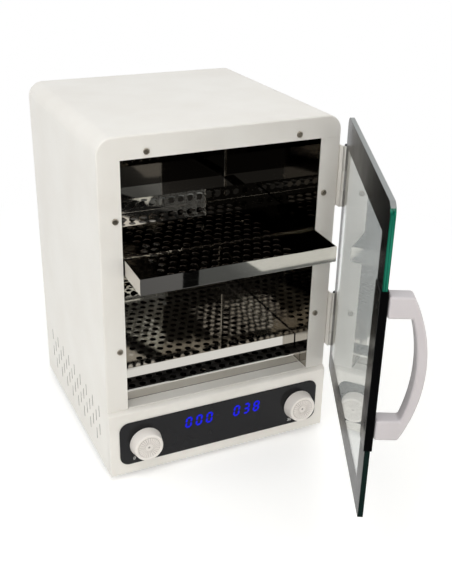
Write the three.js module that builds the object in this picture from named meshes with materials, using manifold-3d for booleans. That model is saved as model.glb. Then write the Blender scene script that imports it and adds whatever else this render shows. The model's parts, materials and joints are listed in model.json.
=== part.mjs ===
// Bench-top dry heat sterilizer: a folded steel cabinet round a polished chamber,
// two perforated trays, a glass door on two hinges and a control panel below it.
// Millimetres, +Z up, the door faces -Y. The origin is the middle of the pressed
// pad under the base pan.
import * as THREE from 'three';
import { mergeVertices } from 'three/addons/utils/BufferGeometryUtils.js';
import Module from 'manifold-3d';

const wasm = await Module();
wasm.setup();

// Gaps
const seat = 0.3; // between a piece and what carries it
const holeGap = 0.3; // round a pin, shaft or module in its hole
const overrun = 3; // how far a cutting tool runs past what it cuts
const weld = 0.0001; // distance at which two mesh corners are one

// Cabinet shell
const caseWidth = 270;
const caseDepth = 262;
const caseHeight = 385;
const caseCornerRadius = 17.5;
const caseEdgeRadius = 2;
const caseSheet = 1.2;

// Front flanges round the chamber opening
const sideFlange = 23.6;
const topFlange = 23.7;
const sillHeight = 82.9;

// Louvre slots low on both sides
const ventLength = 15;
const ventWidth = 1.8;
const ventColumnPitch = 24.65;
const ventRowPitch = 12.2;
const ventLowestZ = 29;
const ventRows = 4;
const ventShortRowColumns = 8;
const ventShortRowFront = 44;

// Control fascia and its overlay
const fasciaProud = 4.5;
const fasciaSheet = 1.2;
const fasciaFrontTop = 78.1;
const fasciaLedgeTop = 81.6;
const fasciaFlange = 14;
const fasciaLip = 2;
const overlaySideMargin = 11.1;
const overlayHeight = 54.2;
const overlayBottom = 12.4;
const overlayRadius = 11;
const overlaySheet = 0.8;

// Displays, three digits each
const displayWidth = 37.7;
const displayHeight = 19;
const displayDepth = 8;
const displayZ = 49.2;
const timeDisplayX = -29.2;
const temperatureDisplayX = 30.8;

// Knobs and potentiometers
const knobZ = 37.4;
const timeKnobInset = 29.7;
const temperatureKnobInset = 24.4;
const knobRadius = 18.6;
const knobFaceRadius = 16.2;
const knobLength = 12.5;
const knobLift = 0.6;
const knobRim = 1.2;
const knobDish = 0.8;
const knobDimpleRadius = 1.8;
const knobWall = 3;
const shaftRadius = 3;
const shaftTail = 5;
const bushRadius = 4.5;
const bushEnd = 1.2;
const bushRecessRadius = 6.5;
const bushRecessDepth = 4;
const potentiometerRadius = 12;
const potentiometerDepth = 9;

// Control board behind the displays
const boardSheet = 1.6;
const controlBoardSideGap = 13; // to the potentiometer cans
const controlBoardHeight = 48;

// Chamber liner
const linerSheet = 0.8;
const linerFlange = 12.3;
const rearSpace = 26; // behind the chamber's back wall

// Frame screws through the front flanges into the liner
const screwRadius = 2;
const screwHeadRadius = 3.3;
const screwHeadHeight = 1.4;
const screwLength = 9;
const topScrewInset = 27.2;
const topScrewRise = 6.7;
const sideScrewInset = 6.7;
const upperScrewDrop = 60.9;
const lowerScrewRise = 71.2;

// Insulation
const blanketFront = 13;
const blanketBottomGap = 1.5;
const backBlanketBottom = 98;

// Perforated bottom guard
const guardSetback = 16.2;
const guardTop = 95;
const guardSheet = 0.8;
const guardHolePitch = 36.6;
const guardHoleRadius = 4;
const guardHoleMargin = 13;

// Trays
const trayGap = 1;
const trayRearGap = 8.5;
const trayHeight = 17.8;
const traySheet = 0.8;
const trayHoleRadius = 4;
const trayHolePitch = 24.4;
const trayHoleMargin = 13;
const wallHolePitch = 24.4;
const wallHoleRadius = 3;
const lowerTraySetback = 29.8;
const upperTrayReach = 47.7;
const upperTrayDrop = 104.9;
const upperTraySlope = 2.85; // degrees, nose down

// Rails of the upper tray
const railWidth = 8;
const railSheet = 1;
const railDrop = 8;

// Heating element, four straight legs joined by bends
const heaterRadius = 3.3;
const heaterLegGap = 50;
const heaterFrontSetback = 61; // front flanges to the front bends
const heaterRearSetback = 35; // chamber's back wall to the rear bend
const heaterTail = 12;
const heaterSteps = 60;
const clipWidth = 14;
const clipLength = 8;

// Probe and cutout
const probeRadius = 2.5;
const probeReach = 20;
const probeTail = 18;
const probeCollarRadius = 6;
const probeCollarLength = 3;
const probeX = 80;
const probeDrop = 30;
const cutoutRadius = 8;
const cutoutHeight = 10;
const cutoutFlange = 1.2;
const cutoutX = 60;
const cutoutY = 50;

// Base pan and feet
const panSheet = 1;
const panLift = 2;
const panFlange = 12;
const panFrontGap = 3;
const padWidth = 120;
const padDepth = 90;
const footRadius = 9;
const footTipRadius = 7.5;
const footHeight = 8;
const footInset = 25;

// Power board, relay and transformer on the pan
const powerBoardWidth = 110;
const powerBoardDepth = 76;
const powerBoardX = -45;
const powerBoardY = 20;
const postRadius = 3;
const postHeight = 6;
const postInset = 6;
const relayWidth = 19;
const relayDepth = 15.5;
const relayHeight = 15;
const transformerWidth = 38;
const transformerDepth = 32;
const transformerHeight = 28;
const transformerX = 70;
const transformerY = 0;

// Power inlet and switch at the rear
const rearFittingInset = 65; // case's side to the middle of each
const inletZ = 38;
const inletWidth = 27;
const inletHeight = 19.8;
const inletDepth = 22;
const inletFlangeWidth = 48;
const inletFlangeHeight = 24;
const inletFlangeSheet = 2.5;
const inletWall = 2;
const inletPocket = 16;
const inletPinWidth = 2;
const inletPinHeight = 4.5;
const inletPinLength = 13;
const inletPinSpread = 7;
const inletPinRise = 3;
const switchZ = 38;
const switchWidth = 12.6;
const switchHeight = 18.6;
const switchDepth = 16;
const switchRim = 1.5;
const switchRimSheet = 1.5;
const switchWall = 1.2;
const switchPocket = 12;
const rockerPivotDepth = 3;
const rockerCrestOut = 5;
const rockerMiddleOut = 3;
const rockerBack = 3;
const rockerHalfHeight = 6.9;
const rockerTilt = 9; // degrees either side of the middle

// Magnet catch behind the left front flange
const magnetWidth = 7;
const magnetDepth = 9;
const magnetHeight = 40;

// Door
const doorRestAngle = 64.4; // degrees open in the modelled pose
const hingeAxisOut = 5.2;
const hingeAxisAhead = 4.5;
const glassSheet = 5;
const glassInset = 1;
const glassOverhang = 2;
const glassStandoff = 3.5;
const glassLedgeGap = 1.9;
const glassTopRise = 0.5;
const glassCorner = 10;

// Hinges
const hingeHeight = 68;
const upperHingeDrop = 34; // pane's top to hinge's top
const lowerHingeRise = 26.5; // pane's bottom to hinge's bottom
const pinRadius = 1.5;
const barrelRadius = 3.4;
const leafSheet = 1.2;
const caseLeafLength = 24;
const doorLeafLength = 28;
const leafTaper = 18;
const knuckleShares = [0.26, 0.6]; // where the door's knuckle starts and ends, up the hinge
const knuckleWeb = 3;

// Bracket on the free edge and the bow handle
const bracketSheet = 1;
const bracketGap = 0.3;
const bracketWidth = 24;
const bracketHeight = 154;
const bracketRise = 0.5; // its middle above the pane's middle
const handleWidth = 16;
const handleHeight = 138;
const handleRise = 3.5; // its middle above the bracket's middle
const handleLegHeight = 20;
const handleLegReach = 20.7;
const handleReach = 37.7;
const handleGrip = 9.2;
const handleArcSteps = 10;
const handleEdge = 2.5;
const handleScrewRadius = 2;
const handleScrewHeadRadius = 4;
const handleScrewSink = 12;

const frontY = -caseDepth / 2;
const rearY = caseDepth / 2;
const sideX = caseWidth / 2;
const openingX = sideX - sideFlange;
const openingBottom = sillHeight;
const openingTop = caseHeight - topFlange;
const chamberDepth = caseDepth - rearSpace;
const trayLength = chamberDepth - lowerTraySetback - trayRearGap;
const topScrewX = openingX - topScrewInset;
const inletX = rearFittingInset - sideX;
const switchX = sideX - rearFittingInset;

const mid = (a, b) => (a + b) / 2;
const radians = THREE.MathUtils.degToRad;

// Solids from three.js geometry, and back

function solid(geometry) {
  const bare = geometry.clone();
  bare.deleteAttribute('normal');
  bare.deleteAttribute('uv');
  const merged = mergeVertices(bare, weld);
  return new wasm.Manifold(new wasm.Mesh({
    numProp: 3,
    vertProperties: new Float32Array(merged.attributes.position.array),
    triVerts: new Uint32Array(merged.index.array),
  }));
}

function geometryOf(shape) {
  const { numProp, vertProperties, triVerts } = shape.getMesh();
  const positions = new Float32Array(triVerts.length * 3);
  triVerts.forEach((vertex, i) => {
    for (let axis = 0; axis < 3; axis += 1) {
      positions[i * 3 + axis] = vertProperties[vertex * numProp + axis];
    }
  });
  const geometry = new THREE.BufferGeometry();
  geometry.setAttribute('position', new THREE.BufferAttribute(positions, 3));
  geometry.computeVertexNormals();
  return geometry;
}

const join = (...shapes) => shapes.flat().reduce((whole, shape) => whole.add(shape));
const cut = (whole, ...tools) => whole.subtract(join(...tools));

function block([x0, x1], [y0, y1], [z0, z1]) {
  const geometry = new THREE.BoxGeometry(x1 - x0, y1 - y0, z1 - z0);
  return solid(geometry.translate(mid(x0, x1), mid(y0, y1), mid(z0, z1)));
}

// A rod along one axis, from one end to the other
function rod(axis, radius, [from, to], [x, y, z], sides = 16) {
  const geometry = new THREE.CylinderGeometry(radius, radius, to - from, sides);
  geometry.translate(0, mid(from, to), 0);
  if (axis === 'x') geometry.rotateZ(-Math.PI / 2);
  if (axis === 'z') geometry.rotateX(Math.PI / 2);
  return solid(geometry.translate(x, y, z));
}

// Outlines drawn in (x, z) run along Y, in (y, z) along X and in (x, y) along Z
function alongY(outline, [from, to], curveSegments = 6) {
  const geometry = new THREE.ExtrudeGeometry(outline, {
    depth: to - from,
    bevelEnabled: false,
    curveSegments,
  });
  return solid(geometry.rotateX(Math.PI / 2).translate(0, to, 0));
}

function alongX(outline, [from, to], curveSegments = 6) {
  const geometry = new THREE.ExtrudeGeometry(outline, {
    depth: to - from,
    bevelEnabled: false,
    curveSegments,
  });
  const turn = new THREE.Matrix4().makeBasis(
    new THREE.Vector3(0, 1, 0),
    new THREE.Vector3(0, 0, 1),
    new THREE.Vector3(1, 0, 0),
  );
  return solid(geometry.applyMatrix4(turn).translate(from, 0, 0));
}

function alongZ(outline, [from, to], curveSegments = 6) {
  const geometry = new THREE.ExtrudeGeometry(outline, {
    depth: to - from,
    bevelEnabled: false,
    curveSegments,
  });
  return solid(geometry.translate(0, 0, from));
}

// Outlines

function polygon(points) {
  return new THREE.Shape(points.map(([a, b]) => new THREE.Vector2(a, b)));
}

function roundedRectangle([left, right], [bottom, top], radius) {
  const shape = new THREE.Shape();
  shape.moveTo(left + radius, bottom);
  shape.lineTo(right - radius, bottom);
  shape.absarc(right - radius, bottom + radius, radius, -Math.PI / 2, 0);
  shape.lineTo(right, top - radius);
  shape.absarc(right - radius, top - radius, radius, 0, Math.PI / 2);
  shape.lineTo(left + radius, top);
  shape.absarc(left + radius, top - radius, radius, Math.PI / 2, Math.PI);
  shape.lineTo(left, bottom + radius);
  shape.absarc(left + radius, bottom + radius, radius, Math.PI, Math.PI * 1.5);
  return shape;
}

// A doorway outline: square at the bottom, rounded at the two top corners
function archway(halfWidth, bottom, top, radius) {
  const shape = new THREE.Shape();
  shape.moveTo(-halfWidth, bottom);
  shape.lineTo(halfWidth, bottom);
  shape.lineTo(halfWidth, top - radius);
  shape.absarc(halfWidth - radius, top - radius, radius, 0, Math.PI / 2);
  shape.lineTo(-halfWidth + radius, top);
  shape.absarc(-halfWidth + radius, top - radius, radius, Math.PI / 2, Math.PI);
  return shape;
}

// Staggered round holes, as hexagons, filling a rectangle about its middle
function perforation(width, length, pitch, radius, [middleX, middleY]) {
  const rowPitch = pitch * Math.sqrt(0.75);
  const rows = Math.floor(length / rowPitch);
  const columns = Math.floor(width / pitch);
  const holes = [];
  for (let row = 0; row <= rows; row += 1) {
    const short = row % 2;
    for (let column = 0; column <= columns - short; column += 1) {
      const x = middleX + (column - (columns - short) / 2) * pitch;
      const y = middleY + (row - rows / 2) * rowPitch;
      const hole = new THREE.Path();
      for (let corner = 0; corner < 6; corner += 1) {
        const angle = (corner * Math.PI) / 3;
        const place = [x + radius * Math.cos(angle), y + radius * Math.sin(angle)];
        if (corner === 0) hole.moveTo(...place);
        else hole.lineTo(...place);
      }
      hole.closePath();
      holes.push(hole);
    }
  }
  return holes;
}

// Materials

const paint = (color, roughness, metalness = 0) =>
  new THREE.MeshStandardMaterial({ color, roughness, metalness });
const whiteEnamel = () => paint(0xe4e2dc, 0.45);
const polishedSteel = () => paint(0x9a9a98, 0.12, 1);
const galvanized = () => paint(0xa9abab, 0.45, 1);
const nickel = () => paint(0xb3aca2, 0.3, 1);
const blackPlastic = () => paint(0x1c1c1e, 0.4);
const circuitBoard = () => paint(0x1d5b3a, 0.5);

// Groups, one for each thing that moves

const sterilizer = new THREE.Group();
const cabinet = new THREE.Group();
const door = new THREE.Group();
const slope = new THREE.Group();
const lowerTrayRun = new THREE.Group();
sterilizer.add(cabinet, door, slope, lowerTrayRun);

function place(parent, name, shape, material) {
  const mesh = new THREE.Mesh(geometryOf(shape), material);
  mesh.name = name;
  parent.add(mesh);
}

// Cabinet shell: a folded sheet with flanges round the opening

const flangeBottom = fasciaLedgeTop + seat;
const lipY = frontY + fasciaLip;
const screwPlaces = {
  frame_screw_top_left: [-topScrewX, openingTop + topScrewRise],
  frame_screw_top_right: [topScrewX, openingTop + topScrewRise],
  frame_screw_upper_left: [-openingX - sideScrewInset, openingTop - upperScrewDrop],
  frame_screw_upper_right: [openingX + sideScrewInset, openingTop - upperScrewDrop],
  frame_screw_lower_left: [-openingX - sideScrewInset, openingBottom + lowerScrewRise],
  frame_screw_lower_right: [openingX + sideScrewInset, openingBottom + lowerScrewRise],
};

function screwHoles([y0, y1]) {
  return Object.values(screwPlaces).map(([x, z]) =>
    rod('y', screwRadius + holeGap, [y0, y1], [x, 0, z], 8));
}

function ventSlots() {
  const slots = [];
  for (let row = 0; row < ventRows; row += 1) {
    const long = row % 2;
    for (let column = 0; column < ventShortRowColumns + long; column += 1) {
      const y = frontY + ventShortRowFront + (column - long / 2) * ventColumnPitch;
      const z = ventLowestZ + row * ventRowPitch;
      slots.push(block(
        [-sideX - overrun, sideX + overrun],
        [y - ventWidth / 2, y + ventWidth / 2],
        [z - ventLength / 2, z + ventLength / 2],
      ));
    }
  }
  return slots;
}

function outerCase() {
  const outline = archway(
    sideX - caseEdgeRadius,
    -overrun,
    caseHeight - caseEdgeRadius,
    caseCornerRadius - caseEdgeRadius,
  );
  const body = new THREE.ExtrudeGeometry(outline, {
    depth: caseDepth,
    bevelThickness: caseEdgeRadius,
    bevelSize: caseEdgeRadius,
    bevelSegments: 2,
    curveSegments: 6,
  });
  body.rotateX(Math.PI / 2).translate(0, rearY + caseEdgeRadius, 0);
  const hollow = alongY(
    archway(sideX - caseSheet, -overrun * 2, caseHeight - caseSheet, caseCornerRadius - caseSheet),
    [frontY + caseSheet, rearY + overrun],
  );
  const beyond = [-caseWidth, caseWidth];
  return cut(
    solid(body),
    hollow,
    block(beyond, [rearY, rearY + caseDepth], [-overrun * 2, caseHeight + overrun]),
    block(beyond, [frontY - overrun, rearY + overrun], [-caseHeight, 0]),
    block(beyond, [frontY - overrun, lipY], [-overrun, flangeBottom]),
    block([-openingX, openingX], [frontY - overrun, frontY + caseSheet + overrun],
      [0, openingTop]),
    ventSlots(),
    screwHoles([frontY - overrun, frontY + caseSheet + overrun]),
  );
}

// Control fascia: front plate, sloped ledge, short side lips and two flanges

const fasciaY = frontY - fasciaProud;
const overlayX = sideX - overlaySideMargin;
const timeKnobX = timeKnobInset - overlayX;
const temperatureKnobX = overlayX - temperatureKnobInset;
const knobCentres = [timeKnobX, temperatureKnobX];
const displayCentres = [timeDisplayX, temperatureDisplayX];

function fasciaOutline(inset, backEnd) {
  return polygon([
    [fasciaY + inset, inset],
    [fasciaY + inset, fasciaFrontTop - inset],
    [frontY + inset, fasciaLedgeTop - inset],
    [backEnd, fasciaLedgeTop - inset],
    [backEnd, inset],
  ]);
}

function panelOpenings([y0, y1]) {
  const windows = displayCentres.map((x) => block(
    [x - displayWidth / 2 - holeGap, x + displayWidth / 2 + holeGap],
    [y0, y1],
    [displayZ - displayHeight / 2 - holeGap, displayZ + displayHeight / 2 + holeGap],
  ));
  const bushes = knobCentres.map((x) =>
    rod('y', bushRadius + holeGap, [y0, y1], [x, 0, knobZ], 16));
  return [...windows, ...bushes];
}

function controlFascia() {
  const flangeEnd = frontY + fasciaFlange;
  const wholeWidth = [-sideX, sideX];
  const innerX = sideX - fasciaSheet;
  const wallX = sideX - caseSheet - seat;
  const sideCuts = [-1, 1].map((side) => block(
    [Math.min(side * wallX, side * caseWidth), Math.max(side * wallX, side * caseWidth)],
    [lipY - seat, flangeEnd + overrun],
    [-overrun, fasciaLedgeTop + overrun],
  ));
  return cut(
    alongX(fasciaOutline(0, flangeEnd), wholeWidth),
    alongX(fasciaOutline(fasciaSheet, flangeEnd + overrun), [-innerX, innerX]),
    sideCuts,
    panelOpenings([fasciaY - overrun, fasciaY + fasciaSheet + overrun]),
  );
}

const overlayBack = fasciaY - seat;
const overlayFront = overlayBack - overlaySheet;

function controlOverlay() {
  const outline = roundedRectangle(
    [-overlayX, overlayX],
    [overlayBottom, overlayBottom + overlayHeight],
    overlayRadius,
  );
  return cut(
    alongY(outline, [overlayFront, overlayBack], 5),
    panelOpenings([overlayFront - overrun, overlayBack + overrun]),
  );
}

const displayBack = overlayFront + displayDepth;

function displayModule(x) {
  return block(
    [x - displayWidth / 2, x + displayWidth / 2],
    [overlayFront, displayBack],
    [displayZ - displayHeight / 2, displayZ + displayHeight / 2],
  );
}

function controlBoard() {
  const canGap = potentiometerRadius + controlBoardSideGap;
  const near = displayBack + seat;
  return block(
    [timeKnobX + canGap, temperatureKnobX - canGap],
    [near, near + boardSheet],
    [displayZ + displayHeight / 2 - controlBoardHeight, displayZ + displayHeight / 2],
  );
}

// Potentiometer: can behind the fascia, bush through it, bore for the shaft
function potentiometer(x) {
  const canFront = fasciaY + fasciaSheet + seat;
  const canBack = canFront + potentiometerDepth;
  const bushFront = overlayFront - knobLift - bushEnd;
  return cut(
    join(
      rod('y', potentiometerRadius, [canFront, canBack], [x, 0, knobZ], 20),
      rod('y', bushRadius, [bushFront, canFront + overrun], [x, 0, knobZ], 16),
    ),
    rod('y', shaftRadius + holeGap, [bushFront - overrun, canBack + overrun], [x, 0, knobZ], 12),
  );
}

const knobBack = overlayFront - knobLift;
const knobFront = knobBack - knobLength;

// Knob, turned about Y: tapered skirt, raised rim, dished face and a dimple
function knob(x) {
  const rimInner = knobFaceRadius - knobRim * 2;
  const face = knobLength - knobDish;
  const profile = [
    [0, 0],
    [knobRadius - knobRim, 0],
    [knobRadius, knobRim],
    [knobFaceRadius, knobLength - knobRim],
    [knobFaceRadius - knobRim, knobLength],
    [rimInner, knobLength],
    [rimInner - knobDish, face],
    [knobDimpleRadius, face],
    [0, face - knobDish],
  ].map(([radius, height]) => new THREE.Vector2(radius, height));
  const turned = new THREE.LatheGeometry(profile, 32);
  turned.rotateX(Math.PI).translate(x, knobBack, knobZ);
  return cut(
    solid(turned),
    rod('y', bushRecessRadius, [knobBack - bushRecessDepth, knobBack + overrun],
      [x, 0, knobZ], 16),
    rod('y', shaftRadius + holeGap, [knobFront + knobWall, knobBack], [x, 0, knobZ], 12),
  );
}

function knobShaft(x) {
  const canBack = fasciaY + fasciaSheet + seat + potentiometerDepth;
  return rod('y', shaftRadius, [knobFront + knobWall + seat, canBack + shaftTail],
    [x, 0, knobZ], 12);
}

// Chamber liner: a box open at the front, with a flange behind the front sheet

const linerFront = frontY + caseSheet + seat;
const chamberBack = frontY + chamberDepth;
const linerBack = chamberBack + linerSheet;
const heaterZ = mid(openingBottom, guardTop - guardSheet);
const probeZ = openingTop - probeDrop;
const heaterEndX = heaterLegGap * 1.5;

function chamberLiner() {
  const outerX = openingX + linerSheet;
  const floorBottom = openingBottom - linerSheet;
  const flange = alongY(
    polygon([
      [-outerX - linerFlange, floorBottom],
      [outerX + linerFlange, floorBottom],
      [outerX + linerFlange, openingTop + linerSheet + linerFlange],
      [-outerX - linerFlange, openingTop + linerSheet + linerFlange],
    ]),
    [linerFront, linerFront + linerSheet],
  );
  const shell = block([-outerX, outerX], [linerFront, linerBack],
    [floorBottom, openingTop + linerSheet]);
  const sill = block([-openingX + seat, openingX - seat], [frontY, linerFront + overrun],
    [floorBottom, openingBottom]);
  const throughBack = [chamberBack - overrun, linerBack + overrun];
  return cut(
    join(flange, shell, sill),
    block([-openingX, openingX], [frontY - overrun, chamberBack], [openingBottom, openingTop]),
    rod('y', heaterRadius + holeGap, throughBack, [-heaterEndX, 0, heaterZ], 12),
    rod('y', heaterRadius + holeGap, throughBack, [heaterEndX, 0, heaterZ], 12),
    rod('y', probeRadius + holeGap, throughBack, [probeX, 0, probeZ], 10),
    screwHoles([linerFront - overrun, linerFront + overrun]),
  );
}

// Screw along Y with its pan head at the front
function frameScrew([x, z]) {
  const underHead = frontY - seat;
  const head = [
    [0, 0],
    [screwHeadRadius, 0],
    [screwHeadRadius, screwHeadHeight / 2],
    [screwHeadRadius * Math.SQRT1_2, screwHeadHeight],
    [0, screwHeadHeight],
  ].map(([radius, height]) => new THREE.Vector2(radius, height));
  const turned = new THREE.LatheGeometry(head, 12);
  turned.rotateX(Math.PI).translate(x, underHead, z);
  return join(
    solid(turned),
    rod('y', screwRadius, [underHead - screwHeadHeight / 2, underHead + screwLength],
      [x, 0, z], 8),
  );
}

// Insulation: a blanket over the liner's top and sides, and one behind it

function insulationWrap() {
  const outerGap = caseSheet + seat;
  const bottom = openingBottom + blanketBottomGap;
  const span = [frontY + blanketFront, rearY - caseSheet - seat];
  return cut(
    alongY(archway(sideX - outerGap, bottom, caseHeight - outerGap, caseCornerRadius - outerGap),
      span),
    block(
      [-openingX - linerSheet - seat, openingX + linerSheet + seat],
      [span[0] - overrun, span[1] + overrun],
      [bottom - overrun, openingTop + linerSheet + seat],
    ),
  );
}

function insulationBack() {
  return cut(
    block([-openingX, openingX], [linerBack + seat, rearY - caseSheet - seat],
      [backBlanketBottom, openingTop]),
    rod('y', probeRadius + holeGap, [linerBack - overrun, rearY], [probeX, 0, probeZ], 10),
  );
}

// Bottom guard: perforated plate with a front lip and two side lips

function bottomGuard() {
  const halfWidth = openingX - seat;
  const front = frontY + guardSetback;
  const back = chamberBack - seat;
  const bottom = openingBottom + seat;
  const plate = polygon([[-halfWidth, front], [halfWidth, front], [halfWidth, back],
    [-halfWidth, back]]);
  plate.holes = perforation(
    (halfWidth - guardHoleMargin) * 2,
    back - front - guardHoleMargin * 2,
    guardHolePitch,
    guardHoleRadius,
    [0, mid(front, back)],
  );
  return join(
    alongZ(plate, [guardTop - guardSheet, guardTop]),
    block([-halfWidth, halfWidth], [front, front + guardSheet], [bottom, guardTop]),
    block([-halfWidth, guardSheet - halfWidth], [front, back], [bottom, guardTop]),
    block([halfWidth - guardSheet, halfWidth], [front, back], [bottom, guardTop]),
  );
}

// Tray in its own frame: the front wall at y = 0, the underside at z = 0

const trayHalfWidth = openingX - trayGap;

function tray() {
  const floor = polygon([[-trayHalfWidth, 0], [trayHalfWidth, 0], [trayHalfWidth, trayLength],
    [-trayHalfWidth, trayLength]]);
  floor.holes = perforation(
    (trayHalfWidth - trayHoleMargin) * 2,
    trayLength - trayHoleMargin * 2,
    trayHolePitch,
    trayHoleRadius,
    [0, trayLength / 2],
  );
  const width = [-trayHalfWidth, trayHalfWidth];
  const back = polygon([[-trayHalfWidth, 0], [trayHalfWidth, 0], [trayHalfWidth, trayHeight],
    [-trayHalfWidth, trayHeight]]);
  back.holes = perforation((trayHalfWidth - trayHoleMargin) * 2, 0, wallHolePitch, wallHoleRadius,
    [0, trayHeight / 2]);
  return join(
    alongZ(floor, [0, traySheet]),
    block(width, [0, traySheet], [0, trayHeight]),
    alongY(back, [trayLength - traySheet, trayLength]),
    block([-trayHalfWidth, traySheet - trayHalfWidth], [0, trayLength], [0, trayHeight]),
    block([trayHalfWidth - traySheet, trayHalfWidth], [0, trayLength], [0, trayHeight]),
  );
}

// The slope carries the upper tray and its rails; its frame is the tray's own
slope.position.set(
  0,
  frontY - upperTrayReach + trayHeight * Math.sin(radians(upperTraySlope)),
  openingTop - upperTrayDrop - trayHeight * Math.cos(radians(upperTraySlope)),
);
slope.rotation.x = radians(upperTraySlope);
lowerTrayRun.position.set(0, frontY + lowerTraySetback, guardTop + seat);

// Rail: a shelf under the tray's edge with a leg down the chamber wall
function rail(side) {
  const wall = openingX - seat;
  const run = Math.cos(radians(upperTraySlope));
  const from = (linerFront + railSheet - slope.position.y) / run;
  const to = (frontY + lowerTraySetback + trayLength - slope.position.y) / run;
  const profile = polygon([
    [wall, -seat],
    [wall - railWidth, -seat],
    [wall - railWidth, -seat - railSheet],
    [wall - railSheet, -seat - railSheet],
    [wall - railSheet, -seat - railDrop],
    [wall, -seat - railDrop],
  ].map(([x, z]) => [side * x, z]));
  return alongY(profile, [from, to]);
}

// Heating element: one bent tube, its two ends through the back of the liner

function heatingElement() {
  const path = new THREE.CurvePath();
  const outer = heaterEndX;
  const inner = heaterLegGap / 2;
  const bend = heaterLegGap / 2;
  const end = linerBack + heaterTail;
  const front = frontY + heaterFrontSetback;
  const rear = chamberBack - heaterRearSetback;
  const at = (x, y) => new THREE.Vector3(x, y, heaterZ);
  const leg = (from, to) => path.add(new THREE.LineCurve3(from, to));
  const arc = (middleX, middleY, towards) => {
    const turn = new THREE.Curve();
    turn.getPoint = (t, target = new THREE.Vector3()) => target.set(
      middleX - bend * Math.cos(Math.PI * t),
      middleY + towards * bend * Math.sin(Math.PI * t),
      heaterZ,
    );
    path.add(turn);
  };
  leg(at(-outer, end), at(-outer, front));
  arc(-heaterLegGap, front, -1);
  leg(at(-inner, front), at(-inner, rear));
  arc(0, rear, 1);
  leg(at(inner, rear), at(inner, front));
  arc(heaterLegGap, front, -1);
  leg(at(outer, front), at(outer, end));
  const section = new THREE.Shape();
  section.absarc(0, 0, heaterRadius, 0, Math.PI * 2);
  return solid(new THREE.ExtrudeGeometry(section, {
    steps: heaterSteps,
    curveSegments: 4,
    extrudePath: path,
    bevelEnabled: false,
  }));
}

// Saddle under one leg of the element
function heaterClip(x) {
  return cut(
    block([x - clipWidth / 2, x + clipWidth / 2], [-clipLength / 2, clipLength / 2],
      [openingBottom + seat, heaterZ]),
    rod('y', heaterRadius + holeGap, [-clipLength, clipLength], [x, 0, heaterZ], 12),
  );
}

function temperatureProbe() {
  const collar = [chamberBack - seat - probeCollarLength, chamberBack - seat];
  return join(
    rod('y', probeRadius, [chamberBack - probeReach, linerBack + probeTail],
      [probeX, 0, probeZ], 10),
    rod('y', probeCollarRadius, collar, [probeX, 0, probeZ], 6),
  );
}

function thermalCutout() {
  const top = openingBottom - linerSheet - seat;
  return join(
    rod('z', cutoutRadius, [top - cutoutHeight, top], [cutoutX, cutoutY, 0], 16),
    block([cutoutX - cutoutRadius * 1.5, cutoutX + cutoutRadius * 1.5],
      [cutoutY - cutoutRadius / 2, cutoutY + cutoutRadius / 2],
      [top - cutoutFlange, top]),
  );
}

// Base pan with its pressed pad, and the feet

const panFloor = panLift + panSheet;

function basePan() {
  const halfWidth = sideX - caseSheet - seat;
  const front = frontY + panFrontGap;
  const back = rearY - caseSheet - seat;
  const hole = block([panSheet - padWidth / 2, padWidth / 2 - panSheet],
    [panSheet - padDepth / 2, padDepth / 2 - panSheet], [panSheet, panFloor + overrun]);
  const flange = [panLift, panLift + panFlange];
  return cut(
    join(
      block([-halfWidth, halfWidth], [front, back], [panLift, panFloor]),
      block([-padWidth / 2, padWidth / 2], [-padDepth / 2, padDepth / 2], [0, panFloor]),
      block([-halfWidth, panSheet - halfWidth], [front, back], flange),
      block([halfWidth - panSheet, halfWidth], [front, back], flange),
      block([-halfWidth, halfWidth], [back - panSheet, back], flange),
    ),
    hole,
  );
}

function foot(x, y) {
  const profile = [
    [0, -footHeight],
    [footTipRadius, -footHeight],
    [footRadius, 0],
    [0, 0],
  ].map(([radius, height]) => new THREE.Vector2(radius, height));
  const turned = new THREE.LatheGeometry(profile, 16);
  turned.rotateX(Math.PI / 2).translate(x, y, panLift - seat);
  return solid(turned);
}

// Power electronics

const powerBoardTop = panFloor + seat + postHeight + boardSheet;

function powerBoard() {
  const x = [powerBoardX - powerBoardWidth / 2, powerBoardX + powerBoardWidth / 2];
  const y = [powerBoardY - powerBoardDepth / 2, powerBoardY + powerBoardDepth / 2];
  const postEnds = [panFloor + seat, powerBoardTop];
  const posts = [x[0] + postInset, x[1] - postInset].flatMap((px) =>
    [y[0] + postInset, y[1] - postInset].map((py) =>
      rod('z', postRadius, postEnds, [px, py, 0], 8)));
  return join(block(x, y, [powerBoardTop - boardSheet, powerBoardTop]), posts);
}

function powerRelay() {
  const base = powerBoardTop + seat;
  return block(
    [powerBoardX - relayWidth / 2, powerBoardX + relayWidth / 2],
    [powerBoardY - relayDepth / 2, powerBoardY + relayDepth / 2],
    [base, base + relayHeight],
  );
}

function transformer() {
  const base = panFloor + seat;
  return block(
    [transformerX - transformerWidth / 2, transformerX + transformerWidth / 2],
    [transformerY - transformerDepth / 2, transformerY + transformerDepth / 2],
    [base, base + transformerHeight],
  );
}

// Rear panel and what sits in it

const panelBack = rearY;
const panelFront = rearY - caseSheet;

function centred(x, z, width, height) {
  return [[x - width / 2, x + width / 2], [z - height / 2, z + height / 2]];
}

function rearHole(x, z, width, height) {
  const [across, up] = centred(x, z, width + holeGap * 2, height + holeGap * 2);
  return block(across, [panelFront - overrun, panelBack + overrun], up);
}

function backPanel() {
  const gap = caseSheet + seat;
  return cut(
    alongY(archway(sideX - gap, panLift, caseHeight - gap, caseCornerRadius - gap),
      [panelFront, panelBack]),
    rearHole(inletX, inletZ, inletWidth, inletHeight),
    rearHole(switchX, switchZ, switchWidth, switchHeight),
  );
}

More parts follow.
